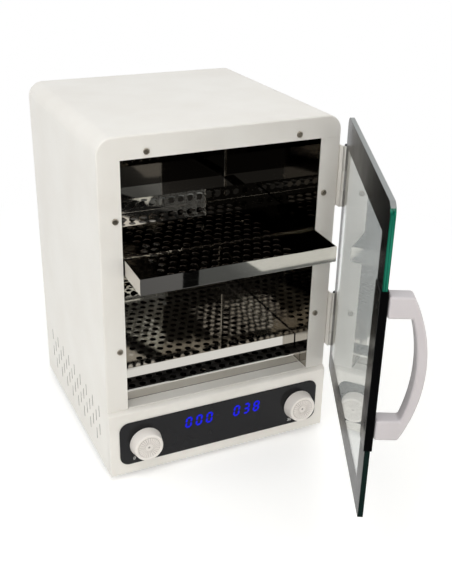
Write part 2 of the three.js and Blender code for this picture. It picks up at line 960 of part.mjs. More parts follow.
function powerInlet() {
  const outside = panelBack + seat + inletFlangeSheet;
  const [bodyX, bodyZ] = centred(inletX, inletZ, inletWidth, inletHeight);
  const [flangeX, flangeZ] = centred(inletX, inletZ, inletFlangeWidth, inletFlangeHeight);
  const [pocketX, pocketZ] = centred(inletX, inletZ, inletWidth - inletWall * 2,
    inletHeight - inletWall * 2);
  const pinBack = outside - inletPocket;
  const pins = [[-inletPinSpread, -inletPinRise], [0, inletPinRise],
    [inletPinSpread, -inletPinRise]].map(([dx, dz]) => {
    const [x, z] = centred(inletX + dx, inletZ + dz, inletPinWidth, inletPinHeight);
    return block(x, [pinBack - inletWall / 2, pinBack + inletPinLength], z);
  });
  const shell = cut(
    join(
      block(bodyX, [panelBack - inletDepth, outside], bodyZ),
      block(flangeX, [panelBack + seat, outside], flangeZ),
    ),
    block(pocketX, [pinBack, outside + overrun], pocketZ),
  );
  return join(shell, pins);
}

const rockerY = panelBack - rockerPivotDepth + seat + switchRimSheet;

function switchHousing() {
  const outside = panelBack + seat + switchRimSheet;
  const [bodyX, bodyZ] = centred(switchX, switchZ, switchWidth, switchHeight);
  const [rimX, rimZ] = centred(switchX, switchZ, switchWidth + switchRim * 2,
    switchHeight + switchRim * 2);
  const [pocketX, pocketZ] = centred(switchX, switchZ, switchWidth - switchWall * 2,
    switchHeight - switchWall * 2);
  return cut(
    join(
      block(bodyX, [panelBack - switchDepth, outside], bodyZ),
      block(rimX, [panelBack + seat, outside], rimZ),
    ),
    block(pocketX, [outside - switchPocket, outside + overrun], pocketZ),
  );
}

// Rocker about its pivot, tipped to the side that is pressed in
function rocker() {
  const halfWidth = switchWidth / 2 - switchWall - holeGap;
  const profile = polygon([
    [-rockerBack, -rockerHalfHeight],
    [rockerCrestOut, -rockerHalfHeight],
    [rockerMiddleOut, 0],
    [rockerCrestOut, rockerHalfHeight],
    [-rockerBack, rockerHalfHeight],
  ]);
  return alongX(profile, [-halfWidth, halfWidth]);
}

// Door in its closed frame: the hinge axis at the origin, the pane towards -X

const hingeX = sideX + hingeAxisOut;
const hingeY = frontY - hingeAxisAhead;
door.position.set(hingeX, hingeY, 0);
door.rotation.z = radians(doorRestAngle);

const paneHingeEdge = sideX - glassInset - hingeX;
const paneFreeEdge = -sideX - glassOverhang - hingeX;
const paneInner = frontY - glassStandoff - hingeY;
const paneOuter = paneInner - glassSheet;
const paneBottom = fasciaLedgeTop + glassLedgeGap;
const paneTop = caseHeight + glassTopRise;
const bracketBottom = mid(paneBottom, paneTop) + bracketRise - bracketHeight / 2;
const handleX = paneFreeEdge - bracketGap - bracketSheet + handleWidth / 2;
const handleZ = bracketBottom + bracketHeight / 2 + handleRise;
const handleScrewZ = [-1, 1].map((end) =>
  handleZ + (end * (handleHeight - handleLegHeight)) / 2);

function doorGlass() {
  const outline = roundedRectangle([paneFreeEdge, paneHingeEdge], [paneBottom, paneTop],
    glassCorner);
  const holes = handleScrewZ.map((z) => rod('y', handleScrewRadius + holeGap,
    [paneOuter - overrun, paneInner + overrun], [handleX, 0, z], 10));
  return cut(alongY(outline, [paneOuter, paneInner], 5), holes);
}

const bracketInner = paneInner + bracketGap + bracketSheet;
const bracketOuter = paneOuter - bracketGap - bracketSheet;

// Bracket: a channel round the pane's free edge
function handleBracket() {
  const x = [paneFreeEdge - bracketGap - bracketSheet, paneFreeEdge + bracketWidth];
  const z = [bracketBottom, bracketBottom + bracketHeight];
  const heads = handleScrewZ.map((screwZ) => screwCone(screwZ, holeGap, overrun));
  const shanks = handleScrewZ.map((screwZ) => rod('y', handleScrewRadius + holeGap,
    [bracketOuter - overrun, bracketInner + overrun], [handleX, 0, screwZ], 10));
  return cut(
    block(x, [bracketOuter, bracketInner], z),
    block([paneFreeEdge - bracketGap, paneFreeEdge + bracketWidth + overrun],
      [paneOuter - bracketGap, paneInner + bracketGap],
      [bracketBottom - overrun, bracketBottom + bracketHeight + overrun]),
    heads,
    shanks,
  );
}

// Catch behind the front flange, level with the bracket's middle
function magnetCatch() {
  const left = -sideX + caseSheet + seat;
  const middle = bracketBottom + bracketHeight / 2;
  return block([left, left + magnetWidth], [linerFront, linerFront + magnetDepth],
    [middle - magnetHeight / 2, middle + magnetHeight / 2]);
}

// Cone of a countersunk head, ending flush with the bracket's inner flange or beyond it
function screwCone(z, gap, beyond) {
  const spread = (handleScrewHeadRadius - handleScrewRadius) / bracketSheet;
  const profile = [
    [0, bracketInner - bracketSheet],
    [handleScrewRadius + gap, bracketInner - bracketSheet],
    [handleScrewHeadRadius + gap + beyond * spread, bracketInner + beyond],
    [0, bracketInner + beyond],
  ].map(([radius, y]) => new THREE.Vector2(radius, y));
  return solid(new THREE.LatheGeometry(profile, 12).translate(handleX, 0, z));
}

function handleScrew(z) {
  return join(
    screwCone(z, 0, 0),
    rod('y', handleScrewRadius, [bracketOuter - handleScrewSink, bracketInner - bracketSheet / 2],
      [handleX, 0, z], 10),
  );
}

// Bow handle: two legs and a curved grip, drawn in (y, z) and run along X
function doorHandle() {
  const base = bracketOuter - seat;
  const half = handleHeight / 2;
  const legInner = half - handleLegHeight;
  const bow = (startsAtTop, halfLength, reach) => {
    const rise = reach - handleLegReach;
    const radius = (halfLength ** 2 + rise ** 2) / (2 * rise);
    const sweep = (startsAtTop ? 1 : -1) * Math.asin(halfLength / radius);
    return Array.from({ length: handleArcSteps + 1 }, (_, i) => {
      const angle = sweep * (1 - (2 * i) / handleArcSteps);
      return [base - reach + radius * (1 - Math.cos(angle)), handleZ + radius * Math.sin(angle)];
    });
  };
  const profile = polygon([
    [base, handleZ + half],
    ...bow(true, half, handleReach),
    [base, handleZ - half],
    [base, handleZ - legInner],
    ...bow(false, legInner, handleReach - handleGrip),
    [base, handleZ + legInner],
  ]);
  const body = alongX(profile, [handleX - handleWidth / 2, handleX + handleWidth / 2]);
  const bores = handleScrewZ.map((z) => rod('y', handleScrewRadius + holeGap,
    [bracketOuter - handleScrewSink - seat, base + overrun], [handleX, 0, z], 10));
  return cut(body, bores);
}

// Hinges: a leaf on the case, a leaf on the pane and a pin

function knuckleRing([from, to]) {
  return rod('z', barrelRadius, [from, to], [0, 0, 0], 16);
}

const pinBore = (bottom) => rod('z', pinRadius + holeGap,
  [bottom - overrun, bottom + hingeHeight + overrun], [0, 0, 0], 10);
const knuckleEnds = (bottom) => knuckleShares.map((share) => bottom + hingeHeight * share);

// Door's leaf: lies outside the pane, tapered at its lower end beside the barrel
function doorLeaf(bottom) {
  const top = bottom + hingeHeight;
  const [from, to] = knuckleEnds(bottom);
  const near = paneOuter - seat;
  const outline = polygon([
    [-doorLeafLength, bottom],
    [paneHingeEdge, bottom],
    [0, bottom + leafTaper],
    [0, top],
    [-doorLeafLength, top],
  ]);
  return cut(
    join(
      alongY(outline, [near - leafSheet, near]),
      knuckleRing([from + seat, to - seat]),
      block([-knuckleWeb, 0], [near - leafSheet / 2, 0], [from + seat, to - seat]),
    ),
    pinBore(bottom),
  );
}

// Case's leaf: on the right side wall, with the lower and the upper knuckle
function caseLeaf(bottom) {
  const top = bottom + hingeHeight;
  const [from, to] = knuckleEnds(bottom);
  const wall = sideX + seat - hingeX;
  const web = ([low, high]) => block([wall, 0], [-leafSheet, leafSheet], [low, high]);
  return cut(
    join(
      block([wall, wall + leafSheet], [-leafSheet, -leafSheet + caseLeafLength], [bottom, top]),
      knuckleRing([bottom, from]),
      knuckleRing([to, top]),
      web([bottom, from]),
      web([to, top]),
    ),
    pinBore(bottom),
  );
}

function hingePin(bottom) {
  return rod('z', pinRadius, [bottom, bottom + hingeHeight], [0, 0, 0], 10);
}

// Assembly

place(cabinet, 'outer_case', outerCase(), whiteEnamel());
place(cabinet, 'control_fascia', controlFascia(), whiteEnamel());
place(cabinet, 'control_overlay', controlOverlay(), paint(0x1c1c1e, 0.35));
place(cabinet, 'time_display', displayModule(timeDisplayX), paint(0x14164a, 0.3));
place(cabinet, 'temperature_display', displayModule(temperatureDisplayX), paint(0x14164a, 0.3));
place(cabinet, 'control_board', controlBoard(), circuitBoard());
place(cabinet, 'time_potentiometer', potentiometer(timeKnobX), galvanized());
place(cabinet, 'temperature_potentiometer', potentiometer(temperatureKnobX), galvanized());
place(cabinet, 'chamber_liner', chamberLiner(), polishedSteel());
place(cabinet, 'insulation_wrap', insulationWrap(), paint(0xd9d2c0, 0.95));
place(cabinet, 'insulation_back', insulationBack(), paint(0xd9d2c0, 0.95));
place(cabinet, 'bottom_guard', bottomGuard(), polishedSteel());
place(cabinet, 'heating_element', heatingElement(), paint(0x4a4a4c, 0.5, 1));
place(cabinet, 'heater_clip_left', heaterClip(-heaterLegGap / 2), galvanized());
place(cabinet, 'heater_clip_right', heaterClip(heaterLegGap / 2), galvanized());
place(cabinet, 'temperature_probe', temperatureProbe(), polishedSteel());
place(cabinet, 'thermal_cutout', thermalCutout(), blackPlastic());
place(cabinet, 'base_pan', basePan(), galvanized());
place(cabinet, 'power_board', powerBoard(), circuitBoard());
place(cabinet, 'power_relay', powerRelay(), paint(0x2a4fa0, 0.4));
place(cabinet, 'transformer', transformer(), paint(0x3a3a3c, 0.6));
place(cabinet, 'back_panel', backPanel(), whiteEnamel());
place(cabinet, 'power_inlet', powerInlet(), blackPlastic());
place(cabinet, 'switch_housing', switchHousing(), blackPlastic());
place(cabinet, 'magnet_catch', magnetCatch(), paint(0x2c2c2e, 0.6));
Object.entries(screwPlaces).forEach(([name, spot]) => {
  place(cabinet, name, frameScrew(spot), nickel());
});
[-1, 1].forEach((side) => {
  [-1, 1].forEach((end) => {
    const name = `foot_${end < 0 ? 'front' : 'rear'}_${side < 0 ? 'left' : 'right'}`;
    const shape = foot(side * (sideX - footInset), end * (rearY - footInset));
    place(cabinet, name, shape, paint(0x202022, 0.8));
  });
});
place(slope, 'left_rail', rail(-1), polishedSteel());
place(slope, 'right_rail', rail(1), polishedSteel());
place(slope, 'upper_tray', tray(), polishedSteel());
place(lowerTrayRun, 'lower_tray', tray(), polishedSteel());

const hingeAxis = new THREE.Group();
hingeAxis.position.set(hingeX, hingeY, 0);
sterilizer.add(hingeAxis);
const hingeBottoms = {
  upper: paneTop - upperHingeDrop - hingeHeight,
  lower: paneBottom + lowerHingeRise,
};
Object.entries(hingeBottoms).forEach(([end, bottom]) => {
  place(hingeAxis, `case_hinge_leaf_${end}`, caseLeaf(bottom), whiteEnamel());
  place(hingeAxis, `hinge_pin_${end}`, hingePin(bottom), nickel());
  place(door, `door_hinge_leaf_${end}`, doorLeaf(bottom), whiteEnamel());
});
place(door, 'door_glass', doorGlass(), paint(0x2f3a38, 0.08));
place(door, 'handle_bracket', handleBracket(), paint(0x101012, 0.3));
place(door, 'door_handle', doorHandle(), paint(0xe3e0dc, 0.4));
place(door, 'handle_screw_lower', handleScrew(handleScrewZ[0]), paint(0x202022, 0.4, 1));
place(door, 'handle_screw_upper', handleScrew(handleScrewZ[1]), paint(0x202022, 0.4, 1));

Object.entries({ time: timeKnobX, temperature: temperatureKnobX }).forEach(([name, x]) => {
  place(sterilizer, `${name}_knob`, knob(x), paint(0xede9e4, 0.45));
  place(sterilizer, `${name}_shaft`, knobShaft(x), nickel());
});

const rockerSeat = new THREE.Group();
rockerSeat.position.set(switchX, rockerY, switchZ);
rockerSeat.rotation.x = radians(rockerTilt);
sterilizer.add(rockerSeat);
place(rockerSeat, 'power_rocker', rocker(), paint(0x18181a, 0.35));

export default sterilizer;
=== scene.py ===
import json
import math
from contextlib import contextmanager

import bmesh
import bpy
from mathutils import Matrix, Vector

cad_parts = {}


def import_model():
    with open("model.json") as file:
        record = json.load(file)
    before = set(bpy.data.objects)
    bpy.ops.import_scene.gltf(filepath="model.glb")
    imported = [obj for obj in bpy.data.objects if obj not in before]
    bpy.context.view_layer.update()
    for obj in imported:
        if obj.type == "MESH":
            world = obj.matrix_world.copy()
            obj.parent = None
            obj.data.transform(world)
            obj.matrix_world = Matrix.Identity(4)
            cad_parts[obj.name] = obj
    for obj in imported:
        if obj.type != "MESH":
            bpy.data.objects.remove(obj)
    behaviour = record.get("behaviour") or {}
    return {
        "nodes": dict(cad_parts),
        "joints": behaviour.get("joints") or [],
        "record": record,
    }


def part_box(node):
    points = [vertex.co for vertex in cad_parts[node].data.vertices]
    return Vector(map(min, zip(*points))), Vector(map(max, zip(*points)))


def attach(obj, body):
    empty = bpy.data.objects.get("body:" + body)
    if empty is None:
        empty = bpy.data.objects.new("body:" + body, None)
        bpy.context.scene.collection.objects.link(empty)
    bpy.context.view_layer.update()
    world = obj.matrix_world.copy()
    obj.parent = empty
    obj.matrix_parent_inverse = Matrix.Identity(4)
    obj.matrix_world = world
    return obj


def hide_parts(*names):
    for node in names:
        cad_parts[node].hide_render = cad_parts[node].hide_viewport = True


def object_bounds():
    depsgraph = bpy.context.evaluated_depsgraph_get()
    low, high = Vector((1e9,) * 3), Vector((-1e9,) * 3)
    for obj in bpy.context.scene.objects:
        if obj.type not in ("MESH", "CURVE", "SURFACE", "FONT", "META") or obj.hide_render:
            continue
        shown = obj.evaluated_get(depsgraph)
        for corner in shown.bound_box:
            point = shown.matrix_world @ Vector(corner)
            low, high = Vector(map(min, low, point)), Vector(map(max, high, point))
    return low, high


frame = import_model()
nodes = frame["nodes"]
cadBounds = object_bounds()
mm = 0.001  # every size below is in millimetres
past = 3  # how far a cutter reaches beyond what it cuts
close = 0.1  # what lies this near to a place counts as being there
sunk = 0.1  # how far a form is sunk into the one that it joins


# Modelling steps, each one as it is done by hand

def selectOnly(*pieces):
    bpy.ops.object.select_all(action="DESELECT")
    for piece in pieces:
        piece.select_set(True)
    bpy.context.view_layer.objects.active = pieces[0]


def boxOf(node):
    low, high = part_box(node)
    return [(a / mm, b / mm) for a, b in zip(low, high)]


def middleOf(node):
    return [sum(ends) / 2 for ends in boxOf(node)]


def nameAndSettle(name):
    piece = bpy.context.object
    piece.name = name
    bpy.ops.object.transform_apply(location=True, rotation=True, scale=True)
    return piece


def addBlock(name, x, y, z):
    bpy.ops.object.select_all(action="DESELECT")
    ends = (x, y, z)
    bpy.ops.mesh.primitive_cube_add(
        size=1,
        location=[(a + b) / 2 * mm for a, b in ends],
        scale=[(b - a) * mm for a, b in ends])
    return nameAndSettle(name)


def addRod(name, axis, radius, ends, centre, sides=32, endRadius=None):
    # a cylinder or cone along one axis; centre gives its place on the other two
    bpy.ops.object.select_all(action="DESELECT")
    turns = {"x": (0, math.pi / 2, 0), "y": (-math.pi / 2, 0, 0), "z": (0, 0, 0)}
    place = list(centre)
    place["xyz".index(axis)] = sum(ends) / 2
    bpy.ops.mesh.primitive_cone_add(
        vertices=sides, radius1=radius * mm, radius2=(endRadius or radius) * mm,
        depth=(ends[1] - ends[0]) * mm, location=[value * mm for value in place],
        rotation=turns[axis])
    return nameAndSettle(name)


def addWords(name, text, size, lift, **settings):
    # flat letters at the origin, facing up, made a mesh
    bpy.ops.object.select_all(action="DESELECT")
    bpy.ops.object.text_add(location=(0, 0, 0))
    words = bpy.context.object
    words.data.body = text
    words.data.size = size * mm
    words.data.extrude = lift * mm
    words.data.align_x = "CENTER"
    words.data.align_y = "CENTER"
    for key, value in settings.items():
        setattr(words.data, key, value)
    bpy.ops.object.convert(target="MESH")
    return nameAndSettle(name)


@contextmanager
def picked(piece, kind="FACE", test=None):
    # edit mode with all selected, or only what passes the test; in millimetres, the test
    # gets a face's middle and its normal, an edge's two ends, or a corner's place
    selectOnly(piece)
    bpy.ops.object.mode_set(mode="EDIT")
    bpy.ops.mesh.select_mode(type=kind)
    bpy.ops.mesh.select_all(action="DESELECT" if test else "SELECT")
    if test:
        mesh = bmesh.from_edit_mesh(piece.data)
        if kind == "FACE":
            known = [(face, face.calc_center_median() / mm, face.normal) for face in mesh.faces]
        elif kind == "EDGE":
            known = [(edge, *[end.co / mm for end in edge.verts]) for edge in mesh.edges]
        else:
            known = [(corner, corner.co / mm) for corner in mesh.verts]
        for part, *facts in known:
            part.select_set(bool(test(*facts)))
        bmesh.update_edit_mesh(piece.data)
    yield
    bpy.ops.object.mode_set(mode="OBJECT")


def removeFaces(piece, test):
    with picked(piece, "FACE", test):
        bpy.ops.mesh.delete(type="FACE")


def bevelEdges(piece, width, segments, test):
    with picked(piece, "EDGE", test):
        bpy.ops.mesh.bevel(offset=width * mm, segments=segments, affect="EDGES")


def before(y):
    # picks edges at a place or in front of it
    return lambda a, b: max(a.y, b.y) < y + close


def along(axis, *tests):
    # picks edges that run along one axis, whose middle passes the tests
    i = "xyz".index(axis)

    def test(a, b):
        line = (b - a).normalized()
        return abs(line[i]) > 0.999 and all(check((a + b) / 2) for check in tests)
    return test


def splitAt(piece, axis, value):
    # a line of edges across the whole piece, where its finish changes
    normal = [float(letter == axis) for letter in "xyz"]
    with picked(piece):
        bpy.ops.mesh.bisect(plane_co=[value * mm * n for n in normal], plane_no=normal)


def applyModifier(piece, kind, **settings):
    selectOnly(piece)
    modifier = piece.modifiers.new(kind.title(), kind)
    for name, value in settings.items():
        setattr(modifier, name, value)
    bpy.ops.object.modifier_apply(modifier=modifier.name)


def thicken(piece, sheet):
    # inwards, to the thickness of the sheet
    applyModifier(piece, "SOLIDIFY", thickness=sheet * mm, offset=-1, use_even_offset=True)


def combine(piece, operation, *tools):
    for tool in tools:
        applyModifier(piece, "BOOLEAN", object=tool, operation=operation, solver="MANIFOLD")
        bpy.data.objects.remove(tool)


def cutAway(piece, *tools):
    combine(piece, "DIFFERENCE", *tools)


def softenEdges(piece, width, segments=2, angle=40):
    applyModifier(piece, "BEVEL", width=width * mm, segments=segments,
                  limit_method="ANGLE", angle_limit=math.radians(angle))


def repeatPiece(piece, count, step):
    applyModifier(piece, "ARRAY", count=count, use_relative_offset=False,
                  use_constant_offset=True,
                  constant_offset_displace=[value * mm for value in step])


def joinPieces(*pieces):
    selectOnly(*pieces)
    bpy.ops.object.join()
    return bpy.context.object


def movedCopy(piece, name, change):
    # a copy with its own mesh, whose place is changed in the mesh
    copy = piece.copy()
    copy.data = piece.data.copy()
    copy.name = name
    bpy.context.collection.objects.link(copy)
    copy.data.transform(change)
    return copy


def shift(x, y, z):
    return Matrix.Translation(Vector((x, y, z)) * mm)


def turnAbout(axis, degrees, x=0, y=0, z=0):
    turn = Matrix.Rotation(math.radians(degrees), 4, axis)
    return shift(x, y, z) @ turn @ shift(-x, -y, -z)


def paintFaces(piece, materials, choose=None):
    # choose gets each face's middle in millimetres and its normal, and says which material
    piece.data.materials.clear()
    for material in materials:
        piece.data.materials.append(material)
    for face in piece.data.polygons:
        face.material_index = choose(face.center / mm, face.normal) if choose else 0


def finishPiece(piece, body, slotName, replaced=(), smoothTo=35):
    # a piece that hasn't been painted yet; a cut can leave it one empty slot
    if not any(piece.data.materials):
        paintFaces(piece, [finishes[slotName]])
    selectOnly(piece)
    bpy.ops.object.shade_smooth_by_angle(angle=math.radians(smoothTo))
    # flat faces keep their own direction beside a rounded fold
    applyModifier(piece, "WEIGHTED_NORMAL", weight=100, keep_sharp=True)
    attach(piece, body)
    if replaced:
        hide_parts(*replaced)


# Node and colour helpers

def fromHex(text):
    # an sRGB hex colour, turned to linear
    channels = [int(text[i:i + 2], 16) / 255 for i in (1, 3, 5)]
    linear = [c / 12.92 if c <= 0.04045 else ((c + 0.055) / 1.055) ** 2.4 for c in channels]
    return (*linear, 1)


def setInputs(tree, node, inputs):
    # an input, by name or number, takes a number, a hex colour, a socket, or a node's
    # first result
    for name, value in inputs.items():
        if isinstance(value, bpy.types.Node):
            value = next(socket for socket in value.outputs if socket.enabled)
        if isinstance(value, bpy.types.NodeSocket):
            tree.links.new(value, node.inputs[name])
        else:
            node.inputs[name].default_value = fromHex(value) if isinstance(value, str) else value


def addNode(tree, kind, inputs=None, **settings):
    node = tree.nodes.new("ShaderNode" + kind)
    for name, value in settings.items():
        setattr(node, name, value)
    setInputs(tree, node, inputs or {})
    return node


def newMaterial(name, colour, start=None):
    # a material, its node tree, its shader, and the place to hang patterns on
    material = bpy.data.materials.new(name)
    material.use_nodes = True
    material.diffuse_color = fromHex(colour)
    tree = material.node_tree
    skin = tree.nodes["Principled BSDF"]
    setInputs(tree, skin, {"Base Color": colour, **(start or {})})
    return material, tree, skin, addNode(tree, "TexCoord").outputs["Object"]


def perMm(size):
    # texture scale at which one feature is this many millimetres
    return 1 / (size * mm)


# Materials, each from what the real one is; some darker copies carry painted shade

def patchyFinish(name, colour, tone, patch, noise=None, grain=None, relief=None, shine=None,
                 start=None):
    # the colour drifts to a second tone in patches; a finer grain, or else the patches, give
    # the relief (its height and strength) or the range of the roughness
    material, tree, skin, place = newMaterial(name, colour, start)
    patches = addNode(tree, "TexNoise", {
        "Vector": place, "Scale": perMm(patch), **(noise or {})})
    shade = addNode(tree, "Mix", {"Factor": patches, "A": colour, "B": tone}, data_type="RGBA")
    setInputs(tree, skin, {"Base Color": shade})
    pattern = patches
    if grain:
        pattern = addNode(tree, "TexNoise", {"Vector": place, "Scale": perMm(grain)})
    if relief:
        height, strength = relief
        setInputs(tree, skin, {"Normal": addNode(tree, "Bump", {
            "Height": pattern, "Distance": height * mm, "Strength": strength})})
    if shine:
        low, high = shine
        setInputs(tree, skin, {"Roughness": addNode(tree, "MapRange", {
            "Value": pattern, "To Min": low, "To Max": high})})
    return material


def powderCoatedSteel(name, colour, tone):
    # polyester powder coat on steel sheet: warm white, satin, with a faint orange peel
    look = {"cloud": 60, "peel": 1.4}
    material, tree, skin, place = newMaterial(name, colour)
    clouds = addNode(tree, "TexNoise", {
        "Vector": place, "Scale": perMm(look["cloud"]), "Detail": 3})
    share = addNode(tree, "MapRange", {"Value": clouds, "From Min": 0.35, "From Max": 0.7})
    shade = addNode(tree, "Mix", {"Factor": share, "A": colour, "B": tone}, data_type="RGBA")
    peel = addNode(tree, "TexNoise", {
        "Vector": place, "Scale": perMm(look["peel"]), "Detail": 1})
    satin = addNode(tree, "MapRange", {
        "Value": peel, "From Min": 0.2, "From Max": 0.8, "To Min": 0.34, "To Max": 0.44})
    bump = addNode(tree, "Bump", {"Height": peel, "Distance": 0.02 * mm, "Strength": 0.35})
    setInputs(tree, skin, {"Base Color": shade, "Roughness": satin, "Normal": bump})
    return material


def mirrorPolishedSteel(name, colour):
    # 304 stainless sheet, buffed to a mirror: sharp reflections, faint wiping marks
    look = {"markWidth": 1.6, "stretch": 0.02, "wave": 60}
    material, tree, skin, place = newMaterial(name, colour, {"Metallic": 1})
    stretched = addNode(tree, "Mapping", {"Vector": place, "Scale": (look["stretch"], 1, 1)})
    marks = addNode(tree, "TexNoise", {
        "Vector": stretched, "Scale": perMm(look["markWidth"]), "Detail": 3})
    haze = addNode(tree, "MapRange", {
        "Value": marks, "From Min": 0.3, "From Max": 0.75, "To Min": 0.02, "To Max": 0.06})
    waves = addNode(tree, "TexNoise", {
        "Vector": place, "Scale": perMm(look["wave"]), "Detail": 1})
    bump = addNode(tree, "Bump", {"Height": waves, "Distance": 0.05 * mm, "Strength": 0.2})
    setInputs(tree, skin, {"Roughness": haze, "Normal": bump})
    return material


def paintedShadeSteel(name, colour, tone):
    # stainless painted brown-black as shade, half dull
    return patchyFinish(name, colour, tone, patch=30, noise={"Detail": 3}, grain=0.7,
                        shine=(0.25, 0.45), start={"Metallic": 1})


def zincPlatedSteel():
    # galvanized sheet: dull grey metal broken into spangles
    look = {"colour": "#A9ABAB", "dark": "#8F9294", "spangle": 9}
    material, tree, skin, place = newMaterial(
        "zincPlatedSteel", look["colour"], {"Metallic": 1})
    spangles = addNode(tree, "TexVoronoi", {"Vector": place, "Scale": perMm(look["spangle"])})
    grey = addNode(tree, "RGBToBW", {"Color": spangles.outputs["Color"]})
    tone = addNode(tree, "Mix", {"Factor": grey, "A": look["colour"], "B": look["dark"]},
                   data_type="RGBA")
    dull = addNode(tree, "MapRange", {"Value": grey, "To Min": 0.34, "To Max": 0.5})
    setInputs(tree, skin, {"Base Color": tone, "Roughness": dull})
    return material


def platedSteel(name, colour, mark, dullest):
    # thin plating or oxide on a turned part: the metal's own sheen under fine marks
    material, tree, skin, place = newMaterial(name, colour, {"Metallic": 1})
    marks = addNode(tree, "TexNoise", {"Vector": place, "Scale": perMm(mark)})
    shine = addNode(tree, "MapRange", {
        "Value": marks, "From Min": 0.3, "From Max": 0.7, "To Min": 0.34, "To Max": dullest})
    setInputs(tree, skin, {"Roughness": shine})
    return material


def annealedSheath():
    # nickel alloy heater tube after some hours of heat: brown-grey bands, no shine
    return patchyFinish("annealedSheath", "#4C4843", "#2E2B2A", patch=24, noise={"Detail": 3},
                        grain=0.8, relief=(0.02, 0.4), start={"Metallic": 1, "Roughness": 0.5})


def printedPolycarbonate():
    # polycarbonate film printed black on its back: deep, glossy, very fine texture
    return patchyFinish("printedPolycarbonate", "#121214", "#17171A", patch=45, grain=0.5,
                        relief=(0.004, 0.3), start={"Roughness": 0.14, "Specular IOR Level": 0.22})


def litSegment():
    # blue light-emitting segment behind the film: even saturated glow
    look = {"colour": "#0608D8", "core": "#1018F4", "unlit": "#02030C", "grain": 3}
    material, tree, skin, place = newMaterial("litSegment", look["unlit"], {
        "Roughness": 0.5, "Specular IOR Level": 0.1, "Emission Strength": 1.0})
    spots = addNode(tree, "TexNoise", {"Vector": place, "Scale": perMm(look["grain"])})
    glow = addNode(tree, "Mix", {"Factor": spots, "A": look["colour"], "B": look["core"]},
                   data_type="RGBA")
    setInputs(tree, skin, {"Emission Color": glow})
    return material


def printInk(name, colour, tone):
    # screen-printed or dabbed ink: flat and matt, a little uneven
    return patchyFinish(name, colour, tone, patch=0.7, start={"Roughness": 0.55})


def mouldedPlastic(name, colour, tone, roughness, flow, grain):
    # moulded plastic with a spark-eroded satin: soft shine, slight flow marks
    return patchyFinish(name, colour, tone, patch=flow, noise={"Detail": 3}, grain=grain,
                        relief=(0.01, 0.35), start={"Roughness": roughness})


def glossBlackLacquer():
    # stoved black lacquer on the bracket: deep black with a slight sheen
    look = {"colour": "#060607", "peel": 1.6, "haze": 14}
    material, tree, skin, place = newMaterial("glossBlackLacquer", look["colour"], {
        "Specular IOR Level": 0.25})
    peel = addNode(tree, "TexNoise", {"Vector": place, "Scale": perMm(look["peel"])})
    bump = addNode(tree, "Bump", {"Height": peel, "Distance": 0.01 * mm, "Strength": 0.25})
    haze = addNode(tree, "TexNoise", {"Vector": place, "Scale": perMm(look["haze"])})
    shine = addNode(tree, "MapRange", {"Value": haze, "To Min": 0.12, "To Max": 0.3})
    setInputs(tree, skin, {"Roughness": shine, "Normal": bump})
    return material


def temperedGlass():
    # clear float glass, tempered: a trace of green, faint roller waves
    look = {"colour": "#D8DCDA", "wave": 70, "stretch": 0.3}
    material, tree, skin, place = newMaterial("temperedGlass", look["colour"], {
        "Roughness": 0.0, "IOR": 1.5, "Transmission Weight": 1.0})
    stretched = addNode(tree, "Mapping", {"Vector": place, "Scale": (look["stretch"], 1, 1)})
    waves = addNode(tree, "TexNoise", {
        "Vector": stretched, "Scale": perMm(look["wave"]), "Detail": 1})
    bump = addNode(tree, "Bump", {"Height": waves, "Distance": 0.02 * mm, "Strength": 0.1})
    setInputs(tree, skin, {"Normal": bump})
    return material


def ceramicFrit(name, shine):
    # black ceramic print fired onto the pane: satin where bare, a mirror under the glass
    return patchyFinish(name, "#0B0C0D", "#121211", patch=20, shine=shine,
                        start={"IOR": 1.5, "Specular IOR Level": 0.08})


def cutGlassEdge():
    # ground and polished pane edge: green streaks along the sheet, with painted shade making it
    # nearly black low down
    look = {"colour": "#0D5A48", "light": "#2A866C", "dark": "#04201A", "low": "#10211E",
            "streak": 1.5, "stretch": 0.02, "darkBelow": 165, "greenAbove": 290}
    material, tree, skin, place = newMaterial(
        "cutGlassEdge", look["colour"], {"Roughness": 0.12, "IOR": 1.5})
    stretched = addNode(tree, "Mapping", {"Vector": place, "Scale": (1, 1, look["stretch"])})
    streaks = addNode(tree, "TexNoise", {
        "Vector": stretched, "Scale": perMm(look["streak"]), "Detail": 2})
    green = addNode(tree, "ValToRGB", {"Fac": streaks})
    ramp = green.color_ramp
    ramp.elements[0].position, ramp.elements[0].color = 0.38, fromHex(look["dark"])
    ramp.elements[1].position, ramp.elements[1].color = 0.66, fromHex(look["light"])
    ramp.elements.new(0.5).color = fromHex(look["colour"])
    # painted shade: the edge darkens towards its lower end
    height = addNode(tree, "SeparateXYZ", {"Vector": place}).outputs["Z"]
    share = addNode(tree, "MapRange", {
        "Value": height, "From Min": look["darkBelow"] * mm, "From Max": look["greenAbove"] * mm})
    tone = addNode(tree, "Mix", {"Factor": share, "A": look["low"],
                                 "B": green.outputs["Color"]}, data_type="RGBA")
    setInputs(tree, skin, {"Base Color": tone})
    return material


def groundGlassEdge():
    # top and hinge edges, ground but not polished: grey, matt
    return patchyFinish("groundGlassEdge", "#8F9291", "#7C8180", patch=0.8,
                        start={"Roughness": 0.45})


def mouldedRubber():
    # nitrile foot: matt black with a dusty bloom
    return patchyFinish("mouldedRubber", "#1B1B1C", "#29292A", patch=5, noise={"Detail": 3},
                        grain=0.6, relief=(0.02, 0.5), start={"Roughness": 0.75})


def mineralWool():
    # bonded mineral fibre: buff, matted, loose surface
    return patchyFinish("mineralWool", "#B9AF95", "#E0D9C6", patch=2.2,
                        noise={"Detail": 6, "Roughness": 0.7}, relief=(0.6, 0.8),
                        start={"Roughness": 0.95})


